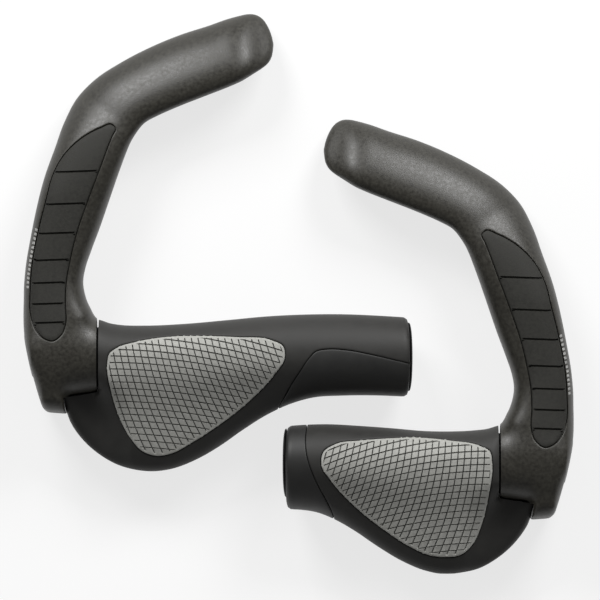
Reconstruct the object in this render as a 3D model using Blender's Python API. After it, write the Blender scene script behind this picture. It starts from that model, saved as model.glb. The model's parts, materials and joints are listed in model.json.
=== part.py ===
"""A pair of bicycle handlebar grips with clamped bar ends: a long left grip and a short right one.

Each grip is built in its own axes, in millimetres: u runs inboard along the handlebar from the
seam between bar end and grip, v runs forward and w runs up. The handlebar's axis is v = w = 0.
place() mirrors the right grip and sets both pieces down in metres, +Z up, as they lie on a table.
"""

import math

import bmesh
import bpy
import numpy as np
from mathutils import Matrix, Vector
from mathutils.bvhtree import BVHTree
from mathutils.geometry import delaunay_2d_cdt

MM = 0.001
GAP = 0.3  # between pieces that meet
TURN_STEPS = 32  # facets round a turned piece
SLIVER = 0.003  # edges shorter than this after a cut are closed up

# Where the two grips lie: the seam's place on each handlebar axis.
SEAM_X = 85.7
LEFT_Y, RIGHT_Y = -26.97, -71.97
AXIS_HEIGHT = 17.32

# Core sleeve, over a 22.2 mm handlebar.
BORE_R = 11.2
SLEEVE_R = 12.6
SLEEVE_OUTBOARD = -24.0
STOP_LIP = 1.5
STOP_LIP_R = 9.5
FLANGE_R = 15.0
FLANGE_THICK = 1.0
COLLET_SLIT = 1.2
COLLET_END = -9.0
BLADE_W = (-4.2, -1.8)
KEY_HOLE_R = 3.0
KEY_HOLES = [(14, -27), (27, -30), (41, -25)]

# Collar of the bar end: a cone that the wing's outer lobe clears as the bar end turns.
COLLAR_R = 17.4
COLLAR_SEAM_R = 14.9
CONE_START = -13.8
BODY_START = 0.8
LOBE_START = -13.4

# Clamp band with two ears, its screw, washer and nut.
BAND_R = 15.2
BAND_U = (-24.5, -11.5)
EAR_U = (-22.0, -15.6)
EAR_END = -20.6
EAR_W = (-8.0, 6.5)
BAND_SLIT = 2.0
HEEL_SLIT = 1.2
SCREW_U, SCREW_V = -18.8, -17.4
SCREW_R = 2.0
HEAD_R, HEAD_HIGH, HEX_ACROSS, HEX_DEEP = 3.5, 4.0, 3.0, 2.2
WASHER_THICK = 0.8
NUT_ACROSS, NUT_HIGH = 6.0, 3.2

# End cap: a plug whose outer face slants with the outboard wall, and a ring of snap fingers.
CAP_R = 10.5
CAP_FACE_U, CAP_FACE_SLOPE = -29.0, -0.168
CAP_BACK_U = -25.0
FINGER_R = (7.4, 9.2)
FINGER_END = -22.2

# Rubber inlays: depth of the recess, how far the pad stands up, size of its facets.
PALM_DEEP, PALM_PROUD, PALM_FACET = 1.4, 0.3, 6.0
ARM_PAD_DEEP, ARM_PAD_PROUD, ARM_FACET = 1.6, 0.1, 5.5
ARM_WALL = 3.6

# Half-thickness of the grip and how far its wing droops at the back edge.
WING_DROOP = 2.5
WING_TOP = (0.24, 0.50, 2.3)  # share of the height kept at the back, where it has fallen, how steeply
WING_BOTTOM = (0.36, 0.33, 3.0)
LOBE_TOP = (0.20, 0.33, 6.0)
LOBE_BLEND = (-1.0, 15.0)  # the wing's top changes from the lobe's shape to its own between these
WING_NOSE = 9.0
TUBE_REAR, WING_REAR = 17.0, 48.7
END_ROUND = 3.0

LONG = {
    "end": 132.7,
    "front": [(-16, 13.4), (-6, 14.0), (0.8, 15.6), (4, 14.9), (8, 14.1), (20, 13.4), (38, 14.1), (56, 15.7),
              (72, 17.2), (88, 18.0), (106, 18.1), (120, 17.5), (133, 16.7)],
    "rear": [(-13.4, 23.2), (-12.6, 25.4), (-9.8, 30.4), (-4.8, 36.6), (2, 42.2), (9, 46.0), (16, 48.0), (24, 48.7),
             (32, 47.6), (42, 43.8), (52, 38.1), (62, 31.1), (72, 24.8), (82, 20.1), (92, 17.3), (104, 16.5),
             (118, 16.4), (133, 17.0)],
    "top": [(-16, 13.2), (0.8, 15.0), (20, 15.9), (50, 16.3), (88, 17.0), (118, 16.9), (133, 16.6)],
    "palm": [(4.6, -2), (5.3, 1.2), (9.2, 4.3), (16, 6.4), (30, 8.7), (44, 9.1), (60, 8.6), (74, 7.4), (79.3, 4.6),
             (80.0, -0.5), (75.9, -7.1), (66, -17.9), (53, -28.4), (40.1, -36.8), (32, -41.1), (26, -42.2),
             (19.8, -40.5), (13.8, -34), (9.2, -25), (6.2, -15)],
    "panel": [(76.6, -24), (77.6, -21), (79.6, -17.4), (83, -11.1), (86.4, -6), (89.8, -0.9), (93, 2.4),
              (97.8, 3.4), (106, 3.0), (115, 1.4), (126.3, -1.4), (134, -3.4)],
    "panel_far": [(142, -3.4), (142, -34), (76, -34)],
    "blade": [(3, -6), (3, -26), (8, -34), (16, -38), (26, -38.8), (36, -36), (48, -28.5), (58, -21.5), (66, -14),
              (70, -6)],
}
SHORT = {
    "end": 91.2,
    "front": [(-16, 13.4), (-6, 14.0), (0.8, 15.6), (4, 14.9), (8, 14.2), (20, 13.4), (32, 13.5), (46, 14.7),
              (60, 15.7), (74, 16.4), (84, 16.1), (92, 15.5)],
    "rear": [(-13.4, 23.0), (-12.6, 25.0), (-9.8, 29.5), (-4.8, 35.6), (2, 41.2), (9, 45.0), (16, 46.7), (24, 47.4),
             (32, 45.9), (42, 41.7), (52, 35.7), (62, 28.9), (70, 24.3), (78, 21.1), (85, 20.0), (92, 19.8)],
    "top": [(-16, 13.2), (0.8, 15.0), (20, 15.9), (50, 16.3), (74, 16.5), (92, 16.2)],
    "palm": [(3.6, 0), (4.6, 5.2), (9, 7.6), (21.8, 9.8), (35, 11.0), (48, 10.7), (60, 9.8), (70, 8.4), (75.4, 4.8),
             (76.2, -0.7), (72, -7.6), (62.1, -18.4), (50, -28.2), (38, -36), (30, -39.4), (23.6, -40.1), (16.4, -39),
             (11.2, -34), (7.8, -26), (4.9, -13)],
    "panel": [(82.1, 24), (82.1, 16.5), (82.4, 9.5), (81.7, 3), (80.1, -2.8), (77, -10.3), (73.5, -16.8),
              (71.3, -22), (70.4, -26)],
    "panel_far": [(70, -34), (102, -34), (102, 24)],
    "blade": [(3, -6), (3, -26), (8, -33), (16, -36.5), (25, -37), (34, -34), (46, -26.5), (55, -20), (62, -13),
              (66, -6)],
}

# Bar end, from the heel behind the clamp to the tip. Each station is a section between its outboard
# and inboard edge: (outboard u, v, inboard u, v, half-thickness, middle height, squareness).
ARM = [
    (-21.0, -23.4, -14.2, -23.8, 7.0, -3.4, 3.0),
    (-22.6, -21.8, -14.0, -22.4, 10.6, -2.6, 3.2),
    (-23.9, -19.2, -14.0, -19.8, 12.8, -1.8, 3.6),
    (-25.2, -15.2, -14.0, -16.4, 14.4, -1.0, 3.8),
    (-26.7, -9.6, -12.5, -10.6, 15.6, -0.3, 4.0),
    (-28.4, -3.0, -7.0, -3.0, 16.3, 0.0, 4.0),
    (-30.0, 4.0, -2.6, 4.0, 16.5, 0.0, 3.8),
    (-31.0, 11.5, -0.9, 10.5, 15.0, 0.0, 3.4),
    (-31.2, 18.0, -2.0, 17.5, 14.0, -0.1, 3.0),
    (-31.1, 24.0, -4.4, 24.0, 13.2, -0.3, 2.8),
    (-31.0, 30.3, -5.8, 30.5, 12.6, -0.5, 2.7),
    (-30.2, 39.1, -5.1, 37.0, 12.2, -0.9, 2.7),
    (-28.5, 49.3, -2.3, 45.5, 12.1, -1.4, 2.7),
    (-25.9, 62.5, 1.3, 55.2, 12.2, -2.0, 2.7),
    (-22.5, 76.1, 5.7, 68.0, 12.4, -2.6, 2.6),
    (-17.9, 89.3, 10.2, 80.8, 12.6, -3.1, 2.5),
    (-14.0, 100.3, 14.0, 90.5, 12.8, -3.5, 2.4),
    (-8.9, 110.1, 16.8, 95.2, 13.0, -3.8, 2.3),
    (-0.9, 118.4, 20.2, 99.3, 13.1, -4.0, 2.3),
    (9.8, 125.4, 25.7, 102.4, 13.1, -4.1, 2.3),
    (22.5, 132.0, 35.3, 106.6, 13.1, -4.2, 2.3),
    (35.3, 137.3, 46.3, 110.9, 13.0, -4.3, 2.3),
    (48.0, 141.4, 57.0, 115.1, 12.8, -4.5, 2.3),
    (58.6, 144.7, 66.0, 119.5, 12.5, -4.7, 2.4),
    (65.0, 146.2, 70.6, 123.0, 12.0, -4.9, 2.4),
    (69.6, 144.9, 73.1, 126.2, 10.8, -4.9, 2.4),
    (72.6, 141.6, 74.4, 130.2, 7.4, -4.9, 2.3),
]
ARM_TIP = (74.4, 136.2, -4.9)
CORE_SPAN = (11, 24)  # the stations between which the bar end is cored out
ARM_PAD = [(8.1, 97.0), (6.6, 93.3), (1.4, 79.3), (-4.2, 64.3), (-8.3, 52.1), (-11.1, 40.3), (-12.6, 31.4),
           (-12.9, 22), (-12.7, 14.5), (-14.6, 9.3), (-18.4, 6.6), (-22.6, 8.0), (-25.9, 11.8), (-27.9, 17.5),
           (-28.2, 28), (-27.2, 41), (-24.6, 54.5), (-21.7, 66.3), (-18.9, 77.0), (-15.4, 84.0), (-7.5, 92.3),
           (1.5, 97.4), (6.2, 98.9)]
WINDOW = [(-2.6, 80), (-7.9, 65), (-12, 51), (-15, 38), (-18.5, 35), (-22.3, 38), (-21, 51), (-18, 65), (-14.6, 77),
          (-9, 85), (-4.2, 85.6)]

LOOKS = {  # colour, roughness, metallic
    "rubber": ((0.012, 0.012, 0.012), 0.62, 0.0),
    "inner_rubber": ((0.010, 0.010, 0.010), 0.5, 0.0),
    "palm_rubber": ((0.27, 0.27, 0.25), 0.7, 0.0),
    "core_nylon": ((0.02, 0.02, 0.02), 0.45, 0.0),
    "composite": ((0.02, 0.018, 0.014), 0.42, 0.0),
    "pad_rubber": ((0.016, 0.017, 0.014), 0.7, 0.0),
    "clamp_alloy": ((0.55, 0.56, 0.57), 0.35, 1.0),
    "steel": ((0.35, 0.35, 0.36), 0.3, 1.0),
    "cap_plastic": ((0.014, 0.014, 0.014), 0.35, 0.0),
}


def smooth_curve(points, steps, closed=False):
    """Points along a cubic curve through the given ones, `steps` for each span between them."""
    p = np.array(points, float)
    if closed:
        p = np.vstack([p[-1], p, p[:2]])
    else:
        p = np.vstack([2 * p[0] - p[1], p, 2 * p[-1] - p[-2]])
    chord = np.linalg.norm(np.diff(p, axis=0), axis=1)
    t = (np.arange(steps) / steps)[:, None]
    spans = []
    for i in range(1, len(p) - 2):
        before, here, after = chord[i - 1 : i + 2]
        step = p[i + 1] - p[i]
        leave = here * ((p[i] - p[i - 1]) / before - (p[i + 1] - p[i - 1]) / (before + here)) + step
        arrive = here * ((p[i + 2] - p[i + 1]) / after - (p[i + 2] - p[i]) / (here + after)) + step
        spans.append(
            (2 * t**3 - 3 * t**2 + 1) * p[i]
            + (t**3 - 2 * t**2 + t) * leave
            + (3 * t**2 - 2 * t**3) * p[i + 1]
            + (t**3 - t**2) * arrive
        )
    if not closed:
        spans.append(p[-2:-1])
    return np.vstack(spans)


def width_at(points, u):
    """The value at u of the smooth profile through (u, value) points."""
    curve = smooth_curve(points, 8)
    return np.interp(u, curve[:, 0], curve[:, 1])


def offset(outline, distance):
    """A closed outline moved outwards by a distance."""
    p = np.array(outline, float)
    along = np.roll(p, -1, axis=0) - np.roll(p, 1, axis=0)
    along /= np.linalg.norm(along, axis=1)[:, None]
    area = np.sum(p[:, 0] * np.roll(p[:, 1], -1) - np.roll(p[:, 0], -1) * p[:, 1])
    outwards = np.column_stack([along[:, 1], -along[:, 0]]) * np.sign(area)
    return p + outwards * distance


def solid(bm, name):
    """A new object from a closed bmesh, with its faces pointing out."""
    bmesh.ops.recalc_face_normals(bm, faces=bm.faces)
    mesh = bpy.data.meshes.new(name)
    bm.to_mesh(mesh)
    bm.free()
    obj = bpy.data.objects.new(name, mesh)
    bpy.context.scene.collection.objects.link(obj)
    return obj


def loft(rings, name, closed=False):
    """A solid through rings of equal length. A ring of one point closes an end; closed joins last to first."""
    bm = bmesh.new()
    loops = [[bm.verts.new(point) for point in ring] for ring in rings]
    following = loops[1:] + loops[:1] if closed else loops[1:]
    for a, b in zip(loops, following):
        for i in range(max(len(a), len(b))):
            corners = [a[i % len(a)], a[(i + 1) % len(a)], b[(i + 1) % len(b)], b[i % len(b)]]
            bm.faces.new(list(dict.fromkeys(corners)))
    for loop in (loops[0], loops[-1]):
        if len(loop) > 2 and not closed:
            bm.faces.new(loop)
    return solid(bm, name)


def turned(profile, name, steps=TURN_STEPS):
    """A solid turned about the handlebar axis from (u, radius) points. One that starts on the axis ends there."""
    turns = [math.tau * (i + 0.5) / steps for i in range(steps)]
    rings = [[(u, r * math.cos(a), r * math.sin(a)) for a in turns] if r else [(u, 0, 0)] for u, r in profile]
    return loft(rings, name, closed=profile[0][1] > 0)


def prism(outline, low, high, name):
    """A plan outline extruded upwards between two heights."""
    bm = bmesh.new()
    face = bm.faces.new([bm.verts.new((u, v, low)) for u, v in outline])
    raised = bmesh.ops.extrude_face_region(bm, geom=[face])["geom"]
    moved = [item for item in raised if isinstance(item, bmesh.types.BMVert)]
    bmesh.ops.translate(bm, verts=moved, vec=(0, 0, high - low))
    return solid(bm, name)


def round_prism(u, v, radius, low, high, name, sides=20):
    """An upright cylinder, or a hexagon with six sides."""
    turn = [math.tau * (i + 0.5) / sides for i in range(sides)]
    return prism([(u + radius * math.cos(a), v + radius * math.sin(a)) for a in turn], low, high, name)


def block(low, high, name):
    outline = [(low[0], low[1]), (high[0], low[1]), (high[0], high[1]), (low[0], high[1])]
    return prism(outline, low[2], high[2], name)


def combine(target, tool, operation="DIFFERENCE"):
    """Cuts target by tool, or joins them, and deletes the tool."""
    modifier = target.modifiers.new(operation, "BOOLEAN")
    modifier.object = tool
    modifier.operation = operation
    modifier.solver = "EXACT"
    graph = bpy.context.evaluated_depsgraph_get()
    mesh = bpy.data.meshes.new_from_object(target.evaluated_get(graph))
    target.modifiers.clear()
    target.data = mesh
    bpy.data.objects.remove(tool)
    tidy_up(mesh)
    return target


def tidy_up(mesh):
    """Merges the slivers a cut leaves and splits its faces into flat triangles."""
    bm = bmesh.new()
    bm.from_mesh(mesh)
    bmesh.ops.remove_doubles(bm, verts=bm.verts, dist=SLIVER)
    bmesh.ops.dissolve_degenerate(bm, edges=bm.edges, dist=SLIVER)
    bmesh.ops.triangulate(bm, faces=bm.faces)
    bm.to_mesh(mesh)
    bm.free()


def copy_of(obj, name):
    twin = bpy.data.objects.new(name, obj.data.copy())
    bpy.context.scene.collection.objects.link(twin)
    return twin


def skin_of(obj):
    """A tree for finding points on an object's surface."""
    graph = bpy.context.evaluated_depsgraph_get()
    return BVHTree.FromObject(obj, graph)


def sheet_on(skin, outline, spacing, proud, deep, name, facing=1, rim=0.0):
    """A closed sheet under a plan outline that follows the skin, from `proud` above to `deep` below it.

    With a rim it reaches that much further out, on the same facets as the sheet without one.
    """
    low = np.floor(np.min(outline, axis=0) / spacing) * spacing
    high = np.max(outline, axis=0)
    inner = offset(outline, -0.5 * spacing)
    fill = [(u, v) for u in np.arange(low[0], high[0], spacing)
            for v in np.arange(low[1], high[1], spacing) if inside((u, v), inner)]
    count = len(outline)
    points = [*outline, *fill]
    loop = [(i, (i + 1) % count) for i in range(count)]
    face = range(count)
    if rim:
        face = range(len(points), len(points) + count)
        points += [*offset(outline, rim)]
    points = [Vector(point) for point in points]
    points, _, triangles, *_ = delaunay_2d_cdt(points, loop, [face], 1, 1e-4)
    bm = bmesh.new()
    layers = []
    for shift in (proud, -deep):
        layer = []
        for point in points:
            hit = skin.ray_cast((point.x, point.y, 60 * facing), (0, 0, -facing))[0]
            layer.append(bm.verts.new((point.x, point.y, hit.z + shift * facing)))
        layers.append(layer)
        for triangle in triangles:
            bm.faces.new([layer[i] for i in triangle])
    edges = [pair for a, b, c in triangles for pair in ((a, b), (b, c), (c, a))]
    for i, j in set(edges) - {(j, i) for i, j in edges}:
        bm.faces.new([layers[0][i], layers[0][j], layers[1][j], layers[1][i]])
    return solid(bm, name)


def inside(point, outline):
    """Whether a plan point lies inside a closed outline."""
    u, v = point
    a = np.array(outline)
    b = np.roll(a, -1, axis=0)
    spans = (a[:, 1] > v) != (b[:, 1] > v)
    a, b = a[spans], b[spans]
    crossing = a[:, 0] + (v - a[:, 1]) * (b[:, 0] - a[:, 0]) / (b[:, 1] - a[:, 1])
    return int(np.sum(crossing > u)) % 2 == 1


# The grip.


def wing_profile(s, shape):
    """Share of the grip's height at a share s of the way back along its wing."""
    flat, knee, steepness = shape
    return ((1 - flat) / (1 + (s / knee) ** steepness) + flat) * math.sqrt(max(0.0, 1 - s**WING_NOSE))


def grip_section(size, u):
    """The grip's outline in the plane across the handlebar at u: round in front, a wing behind."""
    front = width_at(size["front"], u)
    rear = width_at(size["rear"], u)
    top = width_at(size["top"], u)
    wing = np.interp(rear, (TUBE_REAR, WING_REAR), (0, 1))
    wing = wing * (2 - wing)
    blend = np.interp(u, LOBE_BLEND, (0, 1))
    top_shape = [a + (b - a) * blend for a, b in zip(LOBE_TOP, WING_TOP)]
    points = []
    for i in range(11):
        angle = math.radians(-90 + 18 * i)
        points.append((front * math.cos(angle), top * math.sin(angle)))
    behind = [math.sin(math.radians(a)) for a in (12, 24, 36, 47, 57, 66, 74, 82)]
    lower = []
    for s in behind:
        tube = math.sqrt(1 - s * s)
        droop = WING_DROOP * wing * s * s
        above = top * ((1 - wing) * tube + wing * wing_profile(s, top_shape)) - droop
        below = -top * ((1 - wing) * tube + wing * wing_profile(s, WING_BOTTOM)) - droop
        points.append((-rear * s, above))
        lower.append((-rear * s, below))
    points.append((-rear, -WING_DROOP * wing))
    points += lower[::-1]
    start = size["end"] - END_ROUND
    if u > start:
        inset = END_ROUND - math.sqrt(max(0.0, END_ROUND**2 - (u - start) ** 2))
        points = [(v * (1 - inset / math.hypot(v, w)), w * (1 - inset / math.hypot(v, w))) for v, w in points]
    return [(u, v, w) for v, w in points]


def grip_stations(size):
    rounded = [size["end"] - END_ROUND * (1 - math.sin(math.radians(a))) for a in (0, 30, 55, 75)]
    middle = np.linspace(8, size["end"] - END_ROUND - 4, round(size["end"] / 6.5))
    return [LOBE_START, -12.6, -11, -8, -4, -0.5, 1.3, 2.6, 4.5, *middle, *rounded]


def collar_clearance():
    """What the turning bar end sweeps, and the gap round it."""
    gap = 0.9
    return turned([(-30, 0), (-30, COLLAR_R + 1.6), (CONE_START, COLLAR_R + gap), (-2, COLLAR_SEAM_R + 0.4 + gap),
                   (BODY_START, COLLAR_SEAM_R + 0.3 + gap), (BODY_START, 0)], "collar_clearance")


def wing_blade(size, grow, hole_r, name):
    """The flat support inside the wing, with holes that the rubber keys through."""
    outline = offset(smooth_curve(size["blade"], 2), grow)
    low, high = BLADE_W
    blade = prism(outline, low - grow, high + grow, name)
    for u, v in KEY_HOLES:
        combine(blade, round_prism(u, v, hole_r, low - 5, high + 5, "key_hole", sides=12))
    return blade


def core_sleeve(size):
    end = size["end"] + GAP
    tube = turned([(SLEEVE_OUTBOARD, STOP_LIP_R), (SLEEVE_OUTBOARD, SLEEVE_R), (end, SLEEVE_R), (end, FLANGE_R),
                   (end + FLANGE_THICK, FLANGE_R - 0.4), (end + FLANGE_THICK, BORE_R),
                   (SLEEVE_OUTBOARD + STOP_LIP, BORE_R), (SLEEVE_OUTBOARD + STOP_LIP, STOP_LIP_R)], "core_sleeve")
    blade = wing_blade(size, 0, KEY_HOLE_R, "blade")
    combine(blade, turned([(-40, 0), (-40, SLEEVE_R - 0.7), (140, SLEEVE_R - 0.7), (140, 0)], "bar"))
    combine(tube, blade, "UNION")
    half = COLLET_SLIT / 2
    low, high = SLEEVE_OUTBOARD - 5, COLLET_END
    combine(tube, block((low, -half, -20), (high, half, 20), "upright_slit"))
    return combine(tube, block((low, -20, -half), (high, 20, half), "level_slit"))


def rubber_parts(size):
    """The rubber body, the second rubber at its inboard end, and the palm pad let into its top."""
    body = loft([grip_section(size, u) for u in grip_stations(size)], "rubber_body")
    skin = skin_of(body)
    combine(body, collar_clearance())
    bore = SLEEVE_R + GAP
    combine(body, turned([(-40, 0), (-40, bore), (150, bore), (150, 0)], "bore"))
    combine(body, wing_blade(size, GAP, KEY_HOLE_R - GAP, "blade_room"))

    panel = copy_of(body, "inner_panel")
    seam = np.vstack([smooth_curve(size["panel"], 2), size["panel_far"]])
    combine(panel, prism(offset(seam, -GAP / 2), -40, 40, "panel_block"), "INTERSECT")
    combine(body, prism(offset(seam, GAP / 2), -40, 40, "panel_room"))

    outline = offset(smooth_curve(size["palm"], 2, closed=True), -GAP)
    combine(body, sheet_on(skin, outline, PALM_FACET, 8, PALM_DEEP, "palm_recess", rim=GAP))
    pad = sheet_on(skin, outline, PALM_FACET, PALM_PROUD, PALM_DEEP - GAP, "palm_pad")
    return body, panel, pad


# The bar end.


def arm_ring(station, shrink=0.0, sides=20):
    """One closed section of the bar end, a rounded box or oval that stands across its run."""
    outer_u, outer_v, inner_u, inner_v, half, middle, square = station
    across = Vector((inner_u - outer_u, inner_v - outer_v, 0)) / 2
    centre = Vector((outer_u + inner_u, outer_v + inner_v, 2 * middle)) / 2
    across *= 1 - shrink / across.length
    ring = []
    for i in range(sides):
        angle = math.tau * i / sides
        c, s = math.cos(angle), math.sin(angle)
        reach = (abs(c) ** square + abs(s) ** square) ** (-1 / square)
        ring.append(centre + across * (c * reach) + Vector((0, 0, (half - shrink) * s * reach)))
    return ring


def arm_solid(name):
    stations = smooth_curve(ARM, 1)
    return loft([arm_ring(station) for station in stations] + [[ARM_TIP]], name)


def hollow_run(name):
    """The room inside the arm, a wall's thickness under its surface."""
    first, last = CORE_SPAN
    return loft([arm_ring(station, ARM_WALL, sides=12) for station in ARM[first:last:2]], name)


def ear_block(grow, name):
    return block((EAR_U[0] - grow, EAR_END - grow, EAR_W[0] - grow), (EAR_U[1] + grow, -12, EAR_W[1] + grow), name)


def clamp_band():
    low, high = BAND_U
    band = turned([(low, SLEEVE_R + GAP), (low, BAND_R), (high, BAND_R), (high, SLEEVE_R + GAP)], "clamp_band")
    ears = ear_block(0, "ears")
    bore = SLEEVE_R + 1
    combine(ears, turned([(-40, 0), (-40, bore), (10, bore), (10, 0)], "band_bore"))
    combine(band, ears, "UNION")
    combine(band, block((low - 5, -30, -BAND_SLIT / 2), (high + 5, -5, BAND_SLIT / 2), "slit"))
    return combine(band, round_prism(SCREW_U, SCREW_V, SCREW_R + GAP, -30, 30, "screw_way"))


def cap_plug(radius, grow, name):
    """A plug along the handlebar axis whose outer end slants as the outboard wall does."""
    steps = [math.tau * i / TURN_STEPS for i in range(TURN_STEPS)]
    around = [(radius * math.cos(a), radius * math.sin(a)) for a in steps]
    face = [(CAP_FACE_U - grow + CAP_FACE_SLOPE * v, v, w) for v, w in around]
    crown = [(CAP_FACE_U - 0.7 - grow + CAP_FACE_SLOPE * v * 0.8, v * 0.8, w * 0.8) for v, w in around]
    back = [(CAP_BACK_U + grow, v, w) for v, w in around]
    return loft([crown, face, back], name)


def end_cap():
    cap = cap_plug(CAP_R, 0, "end_cap")
    inner, outer = FINGER_R
    start = CAP_BACK_U - 1
    fingers = turned([(start, inner), (start, outer), (FINGER_END, outer - 0.5), (FINGER_END, inner)], "fingers", 24)
    for low, high in (((CAP_BACK_U, -12, -1.5), (0, 12, 1.5)), ((CAP_BACK_U, -1.5, -12), (0, 1.5, 12))):
        combine(fingers, block(low, high, "finger_slot"))
    return combine(cap, fingers, "UNION")


def arm_pads(skin, bar_end):
    """The rubber inlays above and below the arm. They leave their recesses in the bar end."""
    pads = []
    outline = offset(smooth_curve(ARM_PAD, 1, closed=True), -GAP)
    for facing, name in ((1, "upper_pad"), (-1, "lower_pad")):
        recess = sheet_on(skin, outline, ARM_FACET, 8, ARM_PAD_DEEP, "pad_recess", facing, rim=GAP)
        combine(bar_end, recess)
        pads.append(sheet_on(skin, outline, ARM_FACET, ARM_PAD_PROUD, ARM_PAD_DEEP - GAP, name, facing))
    return pads


def bar_end_parts():
    """The moulded bar end with the room for its clamp, and its two pads."""
    bar_end = arm_solid("bar_end")
    skin = skin_of(bar_end)
    inside_r = 8.0
    collar = turned([(SLEEVE_OUTBOARD, inside_r), (SLEEVE_OUTBOARD, COLLAR_R), (CONE_START, COLLAR_R),
                     (0, COLLAR_SEAM_R), (0, inside_r)], "collar")
    combine(bar_end, collar, "UNION")
    upper, lower = arm_pads(skin, bar_end)

    room = SLEEVE_R + GAP
    low, high = BAND_U
    band_room = BAND_R + GAP
    combine(bar_end, turned([(CAP_BACK_U - GAP, 0), (CAP_BACK_U - GAP, room), (low - GAP, room),
                             (low - GAP, band_room), (high + GAP, band_room), (high + GAP, room), (5, room), (5, 0)],
                            "clamp_room"))
    combine(bar_end, ear_block(GAP, "ear_room"))
    combine(bar_end, cap_plug(CAP_R + GAP, 3, "cap_room"))
    combine(bar_end, block((-40, -30, -HEEL_SLIT / 2), (-13, -10, HEEL_SLIT / 2), "heel_slit"))
    combine(bar_end, round_prism(SCREW_U, SCREW_V, HEAD_R + GAP, -30, EAR_W[0], "head_room"))
    combine(bar_end, nut_shape(GAP, "nut_room"))
    combine(bar_end, round_prism(SCREW_U, SCREW_V, SCREW_R + GAP, 0, EAR_W[1] + NUT_HIGH + 1.4, "screw_room"))

    hollow = hollow_run("hollow")
    combine(hollow, prism(smooth_curve(WINDOW, 1, closed=True), -40, -4, "window"), "UNION")
    combine(bar_end, hollow)
    return bar_end, upper, lower


# The clamp's screw, washer and nut.


def nut_shape(grow, name):
    base = EAR_W[1] + GAP
    radius = (NUT_ACROSS / 2 + grow) / math.cos(math.pi / 6)
    return round_prism(SCREW_U, SCREW_V, radius, base - grow, base + NUT_HIGH + grow, name, sides=6)


def clamp_nut():
    return combine(nut_shape(0, "clamp_nut"), round_prism(SCREW_U, SCREW_V, SCREW_R + GAP, -30, 30, "thread"))


def washer():
    top = EAR_W[0] - GAP
    ring = round_prism(SCREW_U, SCREW_V, HEAD_R, top - WASHER_THICK, top, "washer")
    return combine(ring, round_prism(SCREW_U, SCREW_V, SCREW_R + GAP, -30, 0, "washer_hole"))


def clamp_screw():
    under_head = EAR_W[0] - 2 * GAP - WASHER_THICK
    bottom = under_head - HEAD_HIGH
    screw = round_prism(SCREW_U, SCREW_V, HEAD_R, bottom, under_head, "clamp_screw")
    shank_top = EAR_W[1] + NUT_HIGH + 1.1
    combine(screw, round_prism(SCREW_U, SCREW_V, SCREW_R, under_head - 1, shank_top, "shank"), "UNION")
    hex_r = HEX_ACROSS / 2 / math.cos(math.pi / 6)
    return combine(screw, round_prism(SCREW_U, SCREW_V, hex_r, bottom - 1, bottom + HEX_DEEP, "hex", sides=6))


def material(slot):
    made = bpy.data.materials.get(slot) or bpy.data.materials.new(slot)
    colour, roughness, metallic = LOOKS[slot]
    made.use_nodes = True
    shader = made.node_tree.nodes["Principled BSDF"]
    shader.inputs["Base Color"].default_value = (*colour, 1)
    shader.inputs["Roughness"].default_value = roughness
    shader.inputs["Metallic"].default_value = metallic
    return made


def place(obj, name, slot, hub, side, pivot=(0, 0, 0)):
    """Sets a finished solid under its grip's hub, in metres, with its origin at its pivot."""
    centre = Vector(pivot)
    mesh = obj.data
    mesh.transform(Matrix.Diagonal((side * MM, MM, MM, 1)) @ Matrix.Translation(-centre))
    if side < 0:
        mesh.flip_normals()
    mesh.materials.clear()
    mesh.materials.append(material(slot))
    mesh.shade_smooth()
    mesh.set_sharp_from_angle(angle=math.radians(30))
    obj.name = name
    obj.parent = hub
    obj.location = Vector((side * centre.x, centre.y, centre.z)) * MM


def build_grip(prefix, size, side, seam):
    """One grip with its bar end. side is 1 where inboard is +X, and -1 where it is -X."""
    hub = bpy.data.objects.new(prefix + "_hub", None)
    bpy.context.scene.collection.objects.link(hub)
    hub.location = Vector(seam) * MM
    body, panel, palm = rubber_parts(size)
    bar_end, upper, lower = bar_end_parts()
    screw_axis = (SCREW_U, SCREW_V, EAR_W[0])
    for obj, name, slot, pivot in (
        (core_sleeve(size), "core_sleeve", "core_nylon", (0, 0, 0)),
        (body, "rubber_body", "rubber", (0, 0, 0)),
        (panel, "inner_panel", "inner_rubber", (0, 0, 0)),
        (palm, "palm_pad", "palm_rubber", (0, 0, 0)),
        (bar_end, "bar_end", "composite", (0, 0, 0)),
        (upper, "upper_pad", "pad_rubber", (0, 0, 0)),
        (lower, "lower_pad", "pad_rubber", (0, 0, 0)),
        (clamp_band(), "clamp_band", "clamp_alloy", (0, 0, 0)),
        (end_cap(), "end_cap", "cap_plastic", (CAP_FACE_U, 0, 0)),
        (clamp_nut(), "clamp_nut", "steel", screw_axis),
        (washer(), "washer", "steel", screw_axis),
        (clamp_screw(), "clamp_screw", "steel", screw_axis),
    ):
        place(obj, f"{prefix}_{name}", slot, hub, side, pivot)


def main():
    for obj in list(bpy.data.objects):
        bpy.data.objects.remove(obj)
    build_grip("left", LONG, 1, (-SEAM_X, LEFT_Y, AXIS_HEIGHT))
    build_grip("right", SHORT, -1, (SEAM_X, RIGHT_Y, AXIS_HEIGHT))


main()
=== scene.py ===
"""The looks of a pair of bicycle bar end grips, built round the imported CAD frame.

Shapes are made in each grip's own axes, in millimetres: u runs inboard along the handlebar from the
seam between bar end and grip, v runs forward and w runs up. add_piece() mirrors the right grip's
pieces and sets every piece down in the frame, in metres.
"""

import json
import math

import bmesh
import bpy
import numpy as np
from mathutils import Matrix, Vector
from mathutils.bvhtree import BVHTree
from mathutils.geometry import delaunay_2d_cdt

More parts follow.
